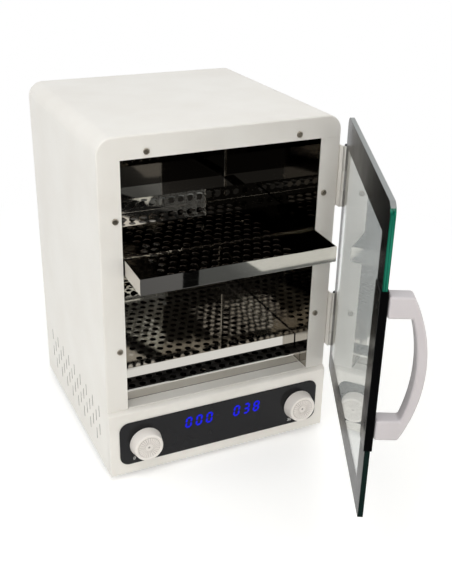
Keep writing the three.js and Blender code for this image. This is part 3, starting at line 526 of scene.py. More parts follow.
def glassEpoxyBoard():
    # glass epoxy board under green solder mask: woven glass shows faintly, tracks lighter
    look = {"colour": "#14573A", "track": "#2C7A50", "trackPitch": 9, "weave": 0.9}
    material, tree, skin, place = newMaterial(
        "glassEpoxyBoard", look["colour"], {"Roughness": 0.35})
    tracks = addNode(tree, "TexBrick", {"Vector": place, "Scale": perMm(look["trackPitch"])})
    tone = addNode(tree, "Mix", {"Factor": tracks.outputs["Fac"], "A": look["colour"],
                                 "B": look["track"]}, data_type="RGBA")
    weave = addNode(tree, "TexNoise", {"Vector": place, "Scale": perMm(look["weave"])})
    bump = addNode(tree, "Bump", {"Height": weave, "Distance": 0.01 * mm, "Strength": 0.4})
    setInputs(tree, skin, {"Base Color": tone, "Normal": bump})
    return material


def varnishedLaminations():
    # stack of silicon steel sheets under varnish: fine dark stripes
    look = {"colour": "#474444", "gap": "#2B2929", "sheets": 20}
    material, tree, skin, place = newMaterial(
        "varnishedLaminations", look["colour"], {"Roughness": 0.5})
    sheets = addNode(tree, "TexWave", {
        "Vector": place, "Scale": perMm(look["sheets"]), "Distortion": 0.4},
        bands_direction="X")
    tone = addNode(tree, "Mix", {"Factor": sheets.outputs["Fac"], "A": look["colour"],
                                 "B": look["gap"]}, data_type="RGBA")
    setInputs(tree, skin, {"Base Color": tone})
    return material


finishes = {
    "white_enamel": powderCoatedSteel("powderCoatedSteel", "#ECEAE4", "#E7E4DD"),
    "overlay_film": printedPolycarbonate(),
    "display_window": printedPolycarbonate(),
    "circuit_board": glassEpoxyBoard(),
    "zinc_steel": zincPlatedSteel(),
    "polished_steel": mirrorPolishedSteel("mirrorPolishedSteel", "#D6D3CD"),
    "element_sheath": annealedSheath(),
    "mineral_wool": mineralWool(),
    "black_plastic": mouldedPlastic("blackNylon", "#19191B", "#222224", 0.42, 8, 0.4),
    "relay_case": mouldedPlastic("bluePolyester", "#2450A8", "#1E4594", 0.34, 6, 0.5),
    "transformer_core": varnishedLaminations(),
    "nickel": platedSteel("nickelPlatedSteel", "#B9B0A2", 0.5, 0.48),  # warm grey
    "foot_rubber": mouldedRubber(),
    "tempered_glass": temperedGlass(),
    "black_paint": glossBlackLacquer(),
    "black_screw": platedSteel("blackenedSteel", "#2A2A2C", 0.6, 0.5),  # nearly black
    "handle_plastic": mouldedPlastic("whiteNylon", "#CECACC", "#C6C1C3", 0.4, 26, 0.5),
    "knob_plastic": mouldedPlastic("whiteAbs", "#EFEBE6", "#E9E4DE", 0.38, 12, 0.35),
}
# painted shade: a darker coat on the walls of the vent slots, where shade falls
slotShadeCoat = powderCoatedSteel("slotShadePowderCoat", "#85837D", "#777570")  # in the cut slots
guardShadePlate = paintedShadeSteel("paintedShadeSteel", "#2B2723", "#161517")
# painted shade: the walls of the punched holes darker, where shade falls
holeWallShade = paintedShadeSteel("holeWallShade", "#6A6058", "#4E4640")
# painted shade: a darker copy of the mirror steel for the inside of the chamber
shadedLinerSteel = mirrorPolishedSteel("shadedChamberSteel", "#BDB8B0")
backWallShadeSteel = mirrorPolishedSteel("paintedShadeBackWall", "#55504A")  # painted shade: darker still on the upper back wall
blueGlow = litSegment()
whiteInk = printInk("whiteInk", "#ECECEA", "#D8D8D6")
greyInk = printInk("greyInk", "#A09C98", "#8C8884")
# painted shade: a greyer plastic on the dish floor between the ribs, where shade falls
grooveShadePlastic = mouldedPlastic("grooveShadeAbs", "#BDB9B4", "#B0ACA7", 0.6, 12, 0.35)  # between ribs
bareFrit = ceramicFrit("bareFrit", (0.16, 0.26))
coveredFrit = ceramicFrit("coveredFrit", (0.02, 0.04))
greenEdge = cutGlassEdge()
greyEdge = groundGlassEdge()

for part in frame["record"]["subparts"]:
    cadMaterials = nodes[part["node"]].data.materials
    cadMaterials.clear()
    cadMaterials.append(finishes[part["material_slot"]])
print("materials are on the CAD nodes")


# Outer case: folded sheet, slotted sides

caseSizes = {
    "cornerRadius": 17.5,
    "foldRadius": 2,
    "sheet": 1.2,
    "openingSide": 111.4,
    "openingTop": 361.3,
    "openingDepth": 5,
    "fasciaTop": 81.9,
    "fasciaLip": 2,
    "seamWidth": 0.35,
    "seamDepth": 0.4,
    "ventLength": 15,
    "ventWidth": 1.8,
    "ventRounding": 0.95,
    "ventPitch": 24.65,
    "ventRowPitch": 12.2,
    "ventLowest": 29,
    "ventFront": 44,
    "ventCount": 8,
    "screwHole": 2.3,
}
(caseLeft, caseRight), (caseFront, caseRear), (_, caseTop) = boxOf("outer_case")
screwPlaces = {node: middleOf(node) for node in nodes if node.startswith("frame_screw")}


def ventCutters():
    cutters = []
    sizes = caseSizes
    half = sizes["ventWidth"] / 2
    for row in (0, 1):
        y = caseFront + sizes["ventFront"] - row * sizes["ventPitch"] / 2
        z = sizes["ventLowest"] + row * sizes["ventRowPitch"]
        slot = addBlock("ventCutter", (caseLeft - past, caseRight + past), (y - half, y + half),
                        (z - sizes["ventLength"] / 2, z + sizes["ventLength"] / 2))
        bevelEdges(slot, half * sizes["ventRounding"], 3, along("x"))
        repeatPiece(slot, sizes["ventCount"] + row, (0, sizes["ventPitch"], 0))
        repeatPiece(slot, 2, (0, 0, 2 * sizes["ventRowPitch"]))
        cutters.append(slot)
    return cutters


def screwHoles(y):
    return joinPieces(*[
        addRod("holeCutter", "y", caseSizes["screwHole"], y, place, 20)
        for place in screwPlaces.values()])


def makeOuterCase():
    sizes = caseSizes
    case = addBlock("outerCase", (caseLeft, caseRight), (caseFront, caseRear), (0, caseTop))
    bevelEdges(case, sizes["cornerRadius"], 14, along("y", lambda at: at.z > caseTop - 1))
    removeFaces(case, lambda at, normal: normal.z < -0.9 or normal.y > 0.9)
    bevelEdges(case, sizes["foldRadius"], 4, lambda a, b: (
        max(a.y, b.y) < caseFront + close and max(a.z, b.z) > close))
    thicken(case, sizes["sheet"])
    wide = (caseLeft - past, caseRight + past)
    depth = (caseFront - past, caseFront + sizes["openingDepth"])
    opening = addBlock("openingCutter", (-sizes["openingSide"], sizes["openingSide"]), depth,
                       (-past, sizes["openingTop"]))
    panelSpace = addBlock("panelCutter", wide, (caseFront - past, caseFront + sizes["fasciaLip"]),
                          (-past, sizes["fasciaTop"]))
    seam = addBlock("seamCutter", (sizes["openingSide"] - 1, caseRight + 1),
                    (caseFront - 1, caseFront + sizes["seamDepth"]),
                    (sizes["openingTop"] - sizes["seamWidth"], sizes["openingTop"]))
    cutAway(case, opening, panelSpace, seam, screwHoles(depth), *ventCutters())
    ventTop = sizes["ventLowest"] + 3 * sizes["ventRowPitch"] + sizes["ventLength"]

    # painted shade: the walls of the vent slots take the darker coat
    def choose(at, normal):
        inVents = (sizes["ventLength"] < at.z < ventTop
                   and abs(at.y) < caseRear - sizes["ventPitch"])
        return int(inVents and abs(at.x) > caseRight - sizes["sheet"] and abs(normal.x) < 0.3)
    paintFaces(case, [finishes["white_enamel"], slotShadeCoat], choose)
    finishPiece(case, "cabinet", "white_enamel", ["outer_case"])


makeOuterCase()
print("outer case is made")


# Frame screws: pan heads with a cross recess

screwSizes = {"headRadius": 3.3, "headHeight": 1.4, "recessLength": 3.4, "recessWidth": 0.75,
              "recessDepth": 0.9, "shankRadius": 2, "shankLength": 9, "gap": 0.3, "turn": 37,
              "rounding": 0.7}


def makeScrewHead(name, radius, height, recess):
    # head at the origin, facing -Y, its underside at y = 0
    head = addRod(name, "y", radius, (-height, 0), (0, 0, 0), 28)
    bevelEdges(head, height * screwSizes["rounding"], 3, before(-height))
    half = recess / 2
    width = screwSizes["recessWidth"] / 2
    depth = (-height - 1, -height + screwSizes["recessDepth"])
    cutAway(head,
            addBlock("recessCutter", (-half, half), depth, (-width, width)),
            addBlock("recessCutter", (-width, width), depth, (-half, half)))
    return head


def makeFrameScrews():
    sizes = screwSizes
    master = makeScrewHead("frameScrew", sizes["headRadius"], sizes["headHeight"],
                           sizes["recessLength"])
    shank = addRod("shank", "y", sizes["shankRadius"], (-sunk, sizes["shankLength"]),
                   (0, 0, 0), 20)
    combine(master, "UNION", shank)
    for i, (node, place) in enumerate(sorted(screwPlaces.items())):
        turn = turnAbout("Y", (i + 0.5) * sizes["turn"])
        screw = movedCopy(master, node.replace("frame_screw_", "frameScrew."),
                          shift(place[0], caseFront - sizes["gap"], place[2]) @ turn)
        finishPiece(screw, "cabinet", "nickel", [node])
    bpy.data.objects.remove(master)


makeFrameScrews()
print("frame screws are made")


# Control fascia, overlay, digits and numbers

fasciaSizes = {"sheet": 1.2, "frontTop": 78.1, "ledgeTop": 81.6, "lipDepth": 1.7,
               "flangeEnd": 14, "wallGap": 1.5, "foldRadius": 0.9, "bushHole": 4.8}
overlaySizes = {"radius": 11, "edge": 0.25}
digitSizes = {"height": 14.2, "width": 8.1, "pitch": 12.7, "stroke": 2.35, "slant": 7, "gap": 0.4,
              "lift": 0.05, "middle": 49.3, "point": 0.05}
digitSegments = {"0": "abcdef", "3": "abcdg", "8": "abcdefg"}
readings = {"timeDigits": ("000", -29.2), "temperatureDigits": ("038", 30.8)}
numberSizes = {"height": 5.6, "lift": 0.05, "slant": 0.2}
numberPlaces = {"zeroMark": ("0", -108, 19), "fiftyMark": ("50", 88.9, 18.3)}
fasciaFront = boxOf("control_fascia")[1][0]
overlayFront = boxOf("control_overlay")[1][0]
knobCentres = {node: middleOf(node) for node in ("time_knob", "temperature_knob")}


def fasciaForm(name, inset, backEnd):
    # block with its top front edge drawn down to a sloped ledge
    sizes = fasciaSizes
    form = addBlock(name, (caseLeft + inset, caseRight - inset), (fasciaFront + inset, backEnd),
                    (inset, sizes["ledgeTop"] - inset))
    splitAt(form, "y", caseFront + inset)
    with picked(form, "VERT", lambda at: (
            at.y < fasciaFront + inset + close and at.z > sizes["ledgeTop"] / 2)):
        bpy.ops.transform.translate(value=(0, 0, (sizes["frontTop"] - sizes["ledgeTop"]) * mm))
    return form


def bushHoles(y, radius):
    return [addRod("bushCutter", "y", radius, y, place, 24) for place in knobCentres.values()]


def makeFascia():
    sizes = fasciaSizes
    flangeEnd = caseFront + sizes["flangeEnd"]
    fascia = fasciaForm("controlFascia", 0, flangeEnd)
    bevelEdges(fascia, sizes["foldRadius"], 3, lambda a, b: (
        max(a.y, b.y) < caseFront + close and min(a.y, b.y) < fasciaFront + close))
    cutAway(fascia, fasciaForm("hollowCutter", sizes["sheet"], flangeEnd + past))
    behind = (caseFront + sizes["lipDepth"], flangeEnd + past)
    levels = (-past, sizes["ledgeTop"] + past)
    sides = [addBlock("sideCutter", x, behind, levels) for x in (
        (caseLeft - past, caseLeft + sizes["wallGap"]),
        (caseRight - sizes["wallGap"], caseRight + past))]
    cutAway(fascia, *sides, *bushHoles((fasciaFront - past, fasciaFront + 4), sizes["bushHole"]))
    finishPiece(fascia, "cabinet", "white_enamel", ["control_fascia"])


def makeOverlay():
    (left, right), (front, back), (bottom, top) = boxOf("control_overlay")
    overlay = addBlock("controlOverlay", (left, right), (front, back), (bottom, top))
    bevelEdges(overlay, overlaySizes["radius"], 12, along("y"))
    bevelEdges(overlay, overlaySizes["edge"], 2, before(front))
    cutAway(overlay, *bushHoles((front - past, back + past), fasciaSizes["bushHole"]))
    finishPiece(overlay, "cabinet", "overlay_film",
                ["control_overlay", "time_display", "temperature_display"])


def makeSegment(name, length):
    # flat bar with pointed ends, lying along X at the origin
    sizes = digitSizes
    half = sizes["stroke"] / 2
    bar = addBlock(name, (-length / 2 + half, length / 2 - half), (-sizes["lift"], sunk),
                   (-half, half))
    for side in (-1, 1):
        with picked(bar, "FACE", lambda at, normal: normal.x * side > 0.9):
            bpy.ops.mesh.extrude_region_move(
                TRANSFORM_OT_translate={"value": (side * half * mm, 0, 0)})
            bpy.ops.transform.resize(value=(1, 1, sizes["point"]))
    return bar


def makeDigits(name, text, middle):
    sizes = digitSizes
    halfHeight = (sizes["height"] - sizes["stroke"]) / 2
    halfWidth = (sizes["width"] - sizes["stroke"]) / 2
    flat = makeSegment("flatSegment", 2 * halfWidth - sizes["gap"])
    upright = makeSegment("uprightSegment", halfHeight - sizes["gap"])
    standing = turnAbout("Y", 90)
    places = {
        "a": (flat, 0, halfHeight), "g": (flat, 0, 0), "d": (flat, 0, -halfHeight),
        "f": (upright, -halfWidth, halfHeight / 2), "b": (upright, halfWidth, halfHeight / 2),
        "e": (upright, -halfWidth, -halfHeight / 2), "c": (upright, halfWidth, -halfHeight / 2),
    }
    slant = Matrix.Identity(4)
    slant[0][2] = math.tan(math.radians(sizes["slant"]))
    lit = []
    for i, digit in enumerate(text):
        for letter in digitSegments[digit]:
            source, x, z = places[letter]
            turn = standing if source is upright else Matrix.Identity(4)
            x0 = middle + (i - (len(text) - 1) / 2) * sizes["pitch"]
            lit.append(movedCopy(source, "segment",
                                 shift(x0, overlayFront, sizes["middle"]) @ slant
                                 @ shift(x, 0, z) @ turn))
    bpy.data.objects.remove(flat)
    bpy.data.objects.remove(upright)
    digits = joinPieces(*lit)
    digits.name = name
    paintFaces(digits, [blueGlow])
    finishPiece(digits, "cabinet", "display_window")


def makeNumber(name, text, x, z):
    number = addWords(name, text, numberSizes["height"], numberSizes["lift"],
                      shear=numberSizes["slant"])
    number.data.transform(shift(x, overlayFront, z) @ Matrix.Rotation(math.pi / 2, 4, "X"))
    paintFaces(number, [whiteInk])
    finishPiece(number, "cabinet", "overlay_film")


makeFascia()
makeOverlay()
for name, (text, middle) in readings.items():
    makeDigits(name, text, middle)
for name, (text, x, z) in numberPlaces.items():
    makeNumber(name, text, x, z)
print("control panel is made")


# Knobs: tapered, raised rim, ribbed dish and a grey dimple

knobSizes = {"faceRadius": 16.2, "baseRadius": 18.6, "edge": 1.2, "rim": 1.4, "rimSlope": 0.9,
             "dish": 0.8, "dimpleRadius": 1.5, "dimpleDepth": 0.6, "dimpleSlope": 0.2, "ribs": 26,
             "ribFrom": 4.4, "ribTo": 12.2, "ribWidth": 2.3, "ribNarrowing": 0.2,
             "ribHeight": 0.6, "ribEdge": 0.15, "ribSunk": 0.3}


def makeKnob(node, name, body):
    sizes = knobSizes
    x, _, z = knobCentres[node]
    _, (front, back), _ = boxOf(node)
    knob = addRod(name, "y", sizes["faceRadius"], (front, back), (x, 0, z), 96,
                  sizes["baseRadius"])
    bevelEdges(knob, sizes["edge"], 4, before(front))
    with picked(knob, "FACE", lambda at, normal: normal.y < -0.99):
        bpy.ops.mesh.inset(thickness=sizes["rim"] * mm)
        bpy.ops.mesh.inset(thickness=sizes["rimSlope"] * mm, depth=-sizes["dish"] * mm)
        reach = sizes["faceRadius"] - sizes["edge"] - sizes["rim"] - sizes["rimSlope"]
        bpy.ops.mesh.inset(thickness=(reach - sizes["ribFrom"]) * mm)
        bpy.ops.mesh.inset(thickness=(sizes["ribFrom"] - sizes["dimpleRadius"]) * mm)
        bpy.ops.mesh.inset(thickness=sizes["dimpleSlope"] * mm, depth=-sizes["dimpleDepth"] * mm)
    dish = front + sizes["dish"]
    half = sizes["ribWidth"] / 2
    rib = addBlock("rib", (x - half, x + half),
                   (dish - sizes["ribHeight"], dish + sizes["ribSunk"]),
                   (z + sizes["ribFrom"], z + sizes["ribTo"]))
    with picked(rib, "VERT", lambda at: at.z < z + sizes["ribFrom"] + close):
        bpy.ops.transform.resize(value=(sizes["ribNarrowing"], 1, 1),
                                 center_override=(x * mm, 0, 0))
    bevelEdges(rib, sizes["ribEdge"], 2, lambda a, b: max(a.y, b.y) < dish)
    ribs = [movedCopy(rib, "rib", turnAbout("Y", 360 * i / sizes["ribs"], x, 0, z))
            for i in range(sizes["ribs"])]
    bpy.data.objects.remove(rib)
    knob = joinPieces(knob, *ribs)

    def choose(at, normal):
        radius = math.hypot(at.x - x, at.z - z)
        if normal.y > -0.5 or at.y < dish - close:
            return 0
        if radius < sizes["dimpleRadius"]:
            return 1
        # the dish floor between the ribs takes the painted shade
        return 2 if sizes["ribFrom"] < radius < sizes["ribTo"] else 0
    paintFaces(knob, [finishes["knob_plastic"], greyInk, grooveShadePlastic], choose)
    finishPiece(knob, body, "knob_plastic", [node])


makeKnob("time_knob", "timeKnob", "time_dial")
makeKnob("temperature_knob", "temperatureKnob", "temperature_dial")
print("knobs are made")


# Perforated sheet: 8 mm holes in staggered rows, as far apart along a row as between rows

perforation = {"radius": 4, "pitch": 12.25, "sides": 16}


def holeField(axis, columns, rows, start, depth):
    # one cutter with every hole; rows run along X from the start, one hole fewer in each second row
    pitch = perforation["pitch"]
    fields = []
    for odd in (0, 1):
        count = columns - odd
        rowCount = (rows + 1 - odd) // 2
        if rowCount < 1:
            continue
        place = [start[0] - (count - 1) / 2 * pitch, start[1], start[2]]
        stepAxis = 1 if axis == "z" else 2
        place[stepAxis] += odd * pitch
        hole = addRod("holeCutter", axis, perforation["radius"], depth, place,
                      perforation["sides"])
        repeatPiece(hole, count, (pitch, 0, 0))
        repeatPiece(hole, rowCount, (0, 2 * pitch, 0) if axis == "z" else (0, 0, 2 * pitch))
        fields.append(hole)
    return joinPieces(*fields)


# Trays

traySizes = {"sheet": 0.8, "height": 17.8, "columns": 13, "rows": 14, "wallColumns": 17,
             "wallHoleLevel": 9.5, "foldRadius": 1.0, "slope": 2.85,
             "holeReach": 2}
trayHoles = {"upper_tray": (1.4, 19.4), "lower_tray": (3, 21.6)}
(trayLeft, trayRight), (lowerFront, lowerBack), (lowerBottom, _) = boxOf("lower_tray")


def makeTray(name, node, toPlace):
    # front wall at y = 0, underside at z = 0, then carried to its place
    sizes = traySizes
    half = (trayRight - trayLeft) / 2
    length = lowerBack - lowerFront
    tray = addBlock(name, (-half, half), (0, length), (0, sizes["height"]))
    lean = sizes["height"] * math.tan(math.radians(sizes["slope"]))
    with picked(tray, "VERT", lambda at: at.z > 1 and at.y < 1):
        bpy.ops.transform.translate(value=(0, lean * mm, 0))
    removeFaces(tray, lambda at, normal: normal.z > 0.9)
    bevelEdges(tray, sizes["foldRadius"], 3, lambda a, b: max(a.z, b.z) < close)
    thicken(tray, sizes["sheet"])
    middle, firstRow = trayHoles[node]
    floorHoles = holeField("z", sizes["columns"], sizes["rows"], (middle, firstRow, 0),
                           (-sizes["holeReach"], past))
    wallHoles = holeField("y", sizes["wallColumns"], 1, (0, 0, sizes["wallHoleLevel"]),
                          (length - past, length + past))
    cutAway(tray, floorHoles, wallHoles)
    inside = 2 * sizes["foldRadius"]

    # painted shade: the walls of the floor holes and of the wall's row of holes take the darker
    # steel
    def choose(at, normal):
        inFloor = abs(at.x) < half - inside and inside < at.y < length - inside
        inWall = (abs(at.x) < half - inside and at.y > length - inside
                  and abs(at.z - sizes["wallHoleLevel"]) <= perforation["radius"])
        if inFloor and at.z < sizes["sheet"]:
            return int(abs(normal.z) < 0.3)
        return int(inWall and abs(normal.y) < 0.3)
    paintFaces(tray, [finishes["polished_steel"], holeWallShade], choose)
    tray.data.transform(toPlace)
    finishPiece(tray, node + "_slider", "polished_steel", [node], 25)


makeTray("lowerTray", "lower_tray", shift(0, lowerFront, lowerBottom))
slope = math.radians(traySizes["slope"])
_, (upperFront, _), (upperBottom, _) = boxOf("upper_tray")
makeTray("upperTray", "upper_tray",
         shift(0, upperFront + traySizes["height"] * math.sin(slope), upperBottom)
         @ Matrix.Rotation(slope, 4, "X"))
print("trays are made")


# Bottom guard under the lower tray, painted dark as shade

guardSizes = {"sheet": 0.8, "columns": 17, "rows": 17, "foldRadius": 1.0, "firstRow": 7.2}


def makeGuard():
    sizes = guardSizes
    (left, right), (front, back), (bottom, top) = boxOf("bottom_guard")
    guard = addBlock("bottomGuard", (left, right), (front, back), (bottom, top))
    removeFaces(guard, lambda at, normal: normal.z < -0.9 or normal.y > 0.9)
    bevelEdges(guard, sizes["foldRadius"], 3, lambda a, b: (
        min(a.z, b.z) > top - close and max(a.y, b.y) < front + close))
    thicken(guard, sizes["sheet"])
    cutAway(guard, holeField("z", sizes["columns"], sizes["rows"],
                             (0, front + sizes["firstRow"], 0), (top - past, top + past)))
    # painted shade: the guard dark under the tray, only the front faces of its front fold left
    # polished
    paintFaces(guard, [guardShadePlate, finishes["polished_steel"]], lambda at, normal: int(
        normal.y < -0.5 and at.y < front + sizes["foldRadius"]))
    finishPiece(guard, "cabinet", "polished_steel", ["bottom_guard"], 25)


makeGuard()
print("bottom guard is made")


# Chamber liner: mirror box with soft inner corners and a white sill

linerSizes = {"sheet": 0.8, "cornerRadius": 2.2, "sideShare": 0.6, "flange": 12.3, "sillGap": 0.3,
              "setBack": 1.5, "sillEnd": -115.2, "darkFrom": 250, "tubeHole": 3.6, "tubeX": 75,
              "probeHole": 2.8, "probeX": 80}


def makeLiner():
    sizes = linerSizes
    side = caseSizes["openingSide"]
    top = caseSizes["openingTop"]
    _, (linerFront, linerRear), (floorBottom, _) = boxOf("chamber_liner")
    sheet = sizes["sheet"]
    floor = floorBottom + sheet
    flangeFront = linerFront + sizes["setBack"]
    chamberBack = linerRear - sheet
    liner = addBlock("chamberLiner", (-side - sheet, side + sheet), (flangeFront, linerRear),
                     (floorBottom, top + sheet))
    flange = addBlock("linerFlange",
                      (-side - sheet - sizes["flange"], side + sheet + sizes["flange"]),
                      (flangeFront, flangeFront + sheet),
                      (floorBottom, top + sheet + sizes["flange"]))
    sill = addBlock("linerSill", (-side + sizes["sillGap"], side - sizes["sillGap"]),
                    (linerFront, flangeFront + 1), (floorBottom, floor))
    combine(liner, "UNION", flange, sill)
    hollow = addBlock("chamberCutter", (-side, side), (linerFront - past, chamberBack),
                      (floor, top))
    bevelEdges(hollow, sizes["cornerRadius"], 5, lambda a, b: min(a.y, b.y) > chamberBack - close)
    bevelEdges(hollow, sizes["cornerRadius"] * sizes["sideShare"], 4, along("y"))
    tubes = [addRod("tubeCutter", "y", sizes["tubeHole"], (chamberBack - 5, linerRear + past),
                    (x, 0, middleOf("heating_element")[2]), 20)
             for x in (-sizes["tubeX"], sizes["tubeX"])]
    probe = addRod("probeCutter", "y", sizes["probeHole"], (chamberBack - 5, linerRear + past),
                   (sizes["probeX"], 0, middleOf("temperature_probe")[2]), 20)
    cutAway(liner, hollow, *tubes, probe, screwHoles((flangeFront - past, flangeFront + past)))
    splitAt(liner, "y", sizes["sillEnd"])
    splitAt(liner, "z", sizes["darkFrom"])
    # painted shade: the chamber in darker steel, darker still on the back wall above the split; the
    # sill white
    paintFaces(liner, [shadedLinerSteel, finishes["white_enamel"], backWallShadeSteel],
               lambda at, normal: 1 if at.y < sizes["sillEnd"] and at.z < floor + close
               else 2 if normal.y < -0.9 and at.y > chamberBack - 1
               and at.z > sizes["darkFrom"] else 0)
    finishPiece(liner, "cabinet", "polished_steel", ["chamber_liner"], 25)


makeLiner()
print("chamber liner is made")


# Door, modelled closed and then swung to its rest angle

hinge = next(joint for joint in frame["joints"] if joint["name"] == "door_hinge")
hingeX, hingeY, _ = [value / mm for value in hinge["pos_m"]]
swing = turnAbout("Z", -hinge["range_deg"][0], hingeX, hingeY, 0)

paneSizes = {"innerAhead": 1.0, "thickness": 5, "hingeEdge": 6.2, "freeEdge": 277.2,
             "topCorner": 10, "bottomCorner": 2.5, "arris": 0.5,
             "windowLeft": 246, "windowRight": 17.6, "windowBottom": 111, "windowTop": 353.6}
paneBottom, paneTop = boxOf("door_glass")[2]
paneInner = hingeY + paneSizes["innerAhead"]
paneOuter = paneInner - paneSizes["thickness"]
paneRight = hingeX - paneSizes["hingeEdge"]
paneLeft = hingeX - paneSizes["freeEdge"]


def makePane():
    sizes = paneSizes
    middle = (paneBottom + paneTop) / 2
    pane = addBlock("doorGlass", (paneLeft, paneRight), (paneOuter, paneInner),
                    (paneBottom, paneTop))
    bevelEdges(pane, sizes["topCorner"], 10, along("y", lambda at: at.z > middle))
    bevelEdges(pane, sizes["bottomCorner"], 5, along("y", lambda at: at.z < paneBottom + close))
    bevelEdges(pane, sizes["arris"], 2, lambda a, b: abs(a.y - b.y) < close)
    window = {"x": (paneRight - sizes["windowLeft"], paneRight - sizes["windowRight"]),
              "z": (sizes["windowBottom"], sizes["windowTop"])}
    for axis, ends in window.items():
        for end in ends:
            splitAt(pane, axis, end)

    def choose(at, normal):
        if abs(normal.y) > 0.9:
            clear = all(ends[0] < at["xyz".index(axis)] < ends[1] for axis, ends in window.items())
            return 0 if clear else 1 if normal.y > 0 else 2
        if normal.z > 0.6:
            return 4
        return 2 if normal.x > 0.6 else 3
    paintFaces(pane, [finishes["tempered_glass"], bareFrit, coveredFrit, greenEdge, greyEdge],
               choose)
    pane.data.transform(swing)
    finishPiece(pane, "door", "tempered_glass", ["door_glass"], 30)


bracketSizes = {"sheet": 1, "gap": 0.3, "width": 24, "edge": 0.35, "fold": 0.9}


def makeBracket():
    sizes = bracketSizes
    _, _, (bottom, top) = boxOf("handle_bracket")
    out = sizes["gap"] + sizes["sheet"]
    bracket = addBlock("handleBracket", (paneLeft - out, paneLeft + sizes["width"]),
                       (paneOuter - out, paneInner + out), (bottom, top))
    bevelEdges(bracket, sizes["fold"], 3, along("z", lambda at: at.x < paneLeft))
    cutAway(bracket, addBlock(
        "paneSpace", (paneLeft - sizes["gap"], paneLeft + sizes["width"] + past),
        (paneOuter - sizes["gap"], paneInner + sizes["gap"]), (bottom - past, top + past)))
    softenEdges(bracket, sizes["edge"])
    bracket.data.transform(swing)
    finishPiece(bracket, "door", "black_paint", ["handle_bracket"])


handleSizes = {"width": 16, "height": 138, "legHeight": 20, "legReach": 20.7, "reach": 37.7,
               "grip": 9.2, "edge": 2.2, "gap": 0.3}


def bowRadius(half, rise):
    return (half ** 2 + rise ** 2) / (2 * rise)


def makeHandle():
    sizes = handleSizes
    _, _, (bottom, top) = boxOf("door_handle")
    middle = (bottom + top) / 2
    out = bracketSizes["gap"] + bracketSizes["sheet"]
    base = paneOuter - out - sizes["gap"]
    left = paneLeft - out
    right = left + sizes["width"]
    beyond = (left - 5, right + 5)
    handle = addBlock("doorHandle", (left, right), (base - sizes["reach"] - 1, base), (bottom, top))
    outerRadius = bowRadius(sizes["height"] / 2, sizes["reach"] - sizes["legReach"])
    outer = addRod("bowForm", "x", outerRadius, beyond,
                   (0, base - sizes["reach"] + outerRadius, middle), 256)
    combine(handle, "INTERSECT", outer)
    inside = sizes["height"] / 2 - sizes["legHeight"]
    innerReach = sizes["reach"] - sizes["grip"]
    innerRadius = bowRadius(inside, innerReach - sizes["legReach"])
    space = addBlock("gripSpace", beyond, (base - innerReach - 5, base + 5),
                     (middle - inside, middle + inside))
    inner = addRod("gripForm", "x", innerRadius, beyond,
                   (0, base - innerReach + innerRadius, middle), 256)
    combine(space, "INTERSECT", inner)
    cutAway(handle, space)
    softenEdges(handle, sizes["edge"], 5, 50)
    handle.data.transform(swing)
    finishPiece(handle, "door", "handle_plastic", ["door_handle"], 40)


makePane()
makeBracket()
makeHandle()
print("door is made")


# Hinges: tapered door leaf, case leaf, rolled knuckles and a headed pin

leafSizes = {"sheet": 1.2, "barrel": 2.6, "gap": 0.2, "doorLeaf": 28, "taper": 18,
             "caseLeaf": 24, "corner": 2.5, "edge": 0.2, "knuckleStart": 0.26,
             "knuckleEnd": 0.6, "knuckleGap": 0.3, "webGap": 0.2, "endGap": 0.05, "wallGap": 0.3,
             "pinRadius": 1.4, "pinHead": 2.1, "pinHeadHeight": 1.5, "pinEdge": 0.4}


def pinCutter(bottom, top):
    return addRod("pinCutter", "z", leafSizes["pinRadius"] + leafSizes["gap"],
                  (bottom - past, top + past), (hingeX, hingeY, 0), 20)


def addKnuckle(leaf, webX, webY, span):
    # a rolled barrel round the pin and the web that carries it
    web = addBlock("web", webX, webY, span)
    barrel = addRod("knuckle", "z", leafSizes["barrel"], span, (hingeX, hingeY, 0), 32)
    combine(leaf, "UNION", web, barrel)


def makeDoorLeaf(end):
    sizes = leafSizes
    node = f"door_hinge_leaf_{end}"
    _, _, (bottom, top) = boxOf(node)
    near = paneOuter - sizes["wallGap"]
    leaf = addBlock(f"doorLeaf.{end}", (hingeX - sizes["doorLeaf"], hingeX - sizes["endGap"]),
                    (near - sizes["sheet"], near), (bottom, top))
    with picked(leaf, "VERT", lambda at: at.x > hingeX - close and at.z < bottom + close):
        bpy.ops.transform.translate(value=(0, 0, sizes["taper"] * mm))
    bevelEdges(leaf, sizes["corner"], 5, along("y", lambda at: at.x < hingeX - 20))
    height = top - bottom
    span = (bottom + height * sizes["knuckleStart"] + sizes["knuckleGap"],
            bottom + height * sizes["knuckleEnd"] - sizes["knuckleGap"])
    addKnuckle(leaf, (hingeX - sizes["sheet"], hingeX), (near - sizes["sheet"], hingeY), span)
    cutAway(leaf, pinCutter(bottom, top))
    softenEdges(leaf, sizes["edge"], 2, 50)
    leaf.data.transform(swing)
    finishPiece(leaf, "door", "white_enamel", [node])


def makeCaseLeaf(end):
    sizes = leafSizes
    node = f"case_hinge_leaf_{end}"
    _, _, (bottom, top) = boxOf(node)
    height = top - bottom
    wall = caseRight + sizes["wallGap"]
    leaf = addBlock(f"caseLeaf.{end}", (wall, wall + sizes["sheet"]),
                    (hingeY - sizes["sheet"], hingeY - sizes["sheet"] + sizes["caseLeaf"]),
                    (bottom, top))
    bevelEdges(leaf, sizes["corner"], 5, along("x", lambda at: at.y > hingeY + 10))
    spans = [(bottom, bottom + height * sizes["knuckleStart"]),
             (bottom + height * sizes["knuckleEnd"], top)]
    for span in spans:
        addKnuckle(leaf, (wall, hingeX), (hingeY - sizes["sheet"], hingeY + sizes["sheet"]),
                   span)
    gap = addBlock("knuckleSpace", (wall + sizes["sheet"] + sizes["webGap"], hingeX + 9),
                   (hingeY - 9, hingeY + 9), (spans[0][1], spans[1][0]))
    cutAway(leaf, gap, pinCutter(bottom, top))
    softenEdges(leaf, sizes["edge"], 2, 50)
    finishPiece(leaf, "cabinet", "white_enamel", [node])


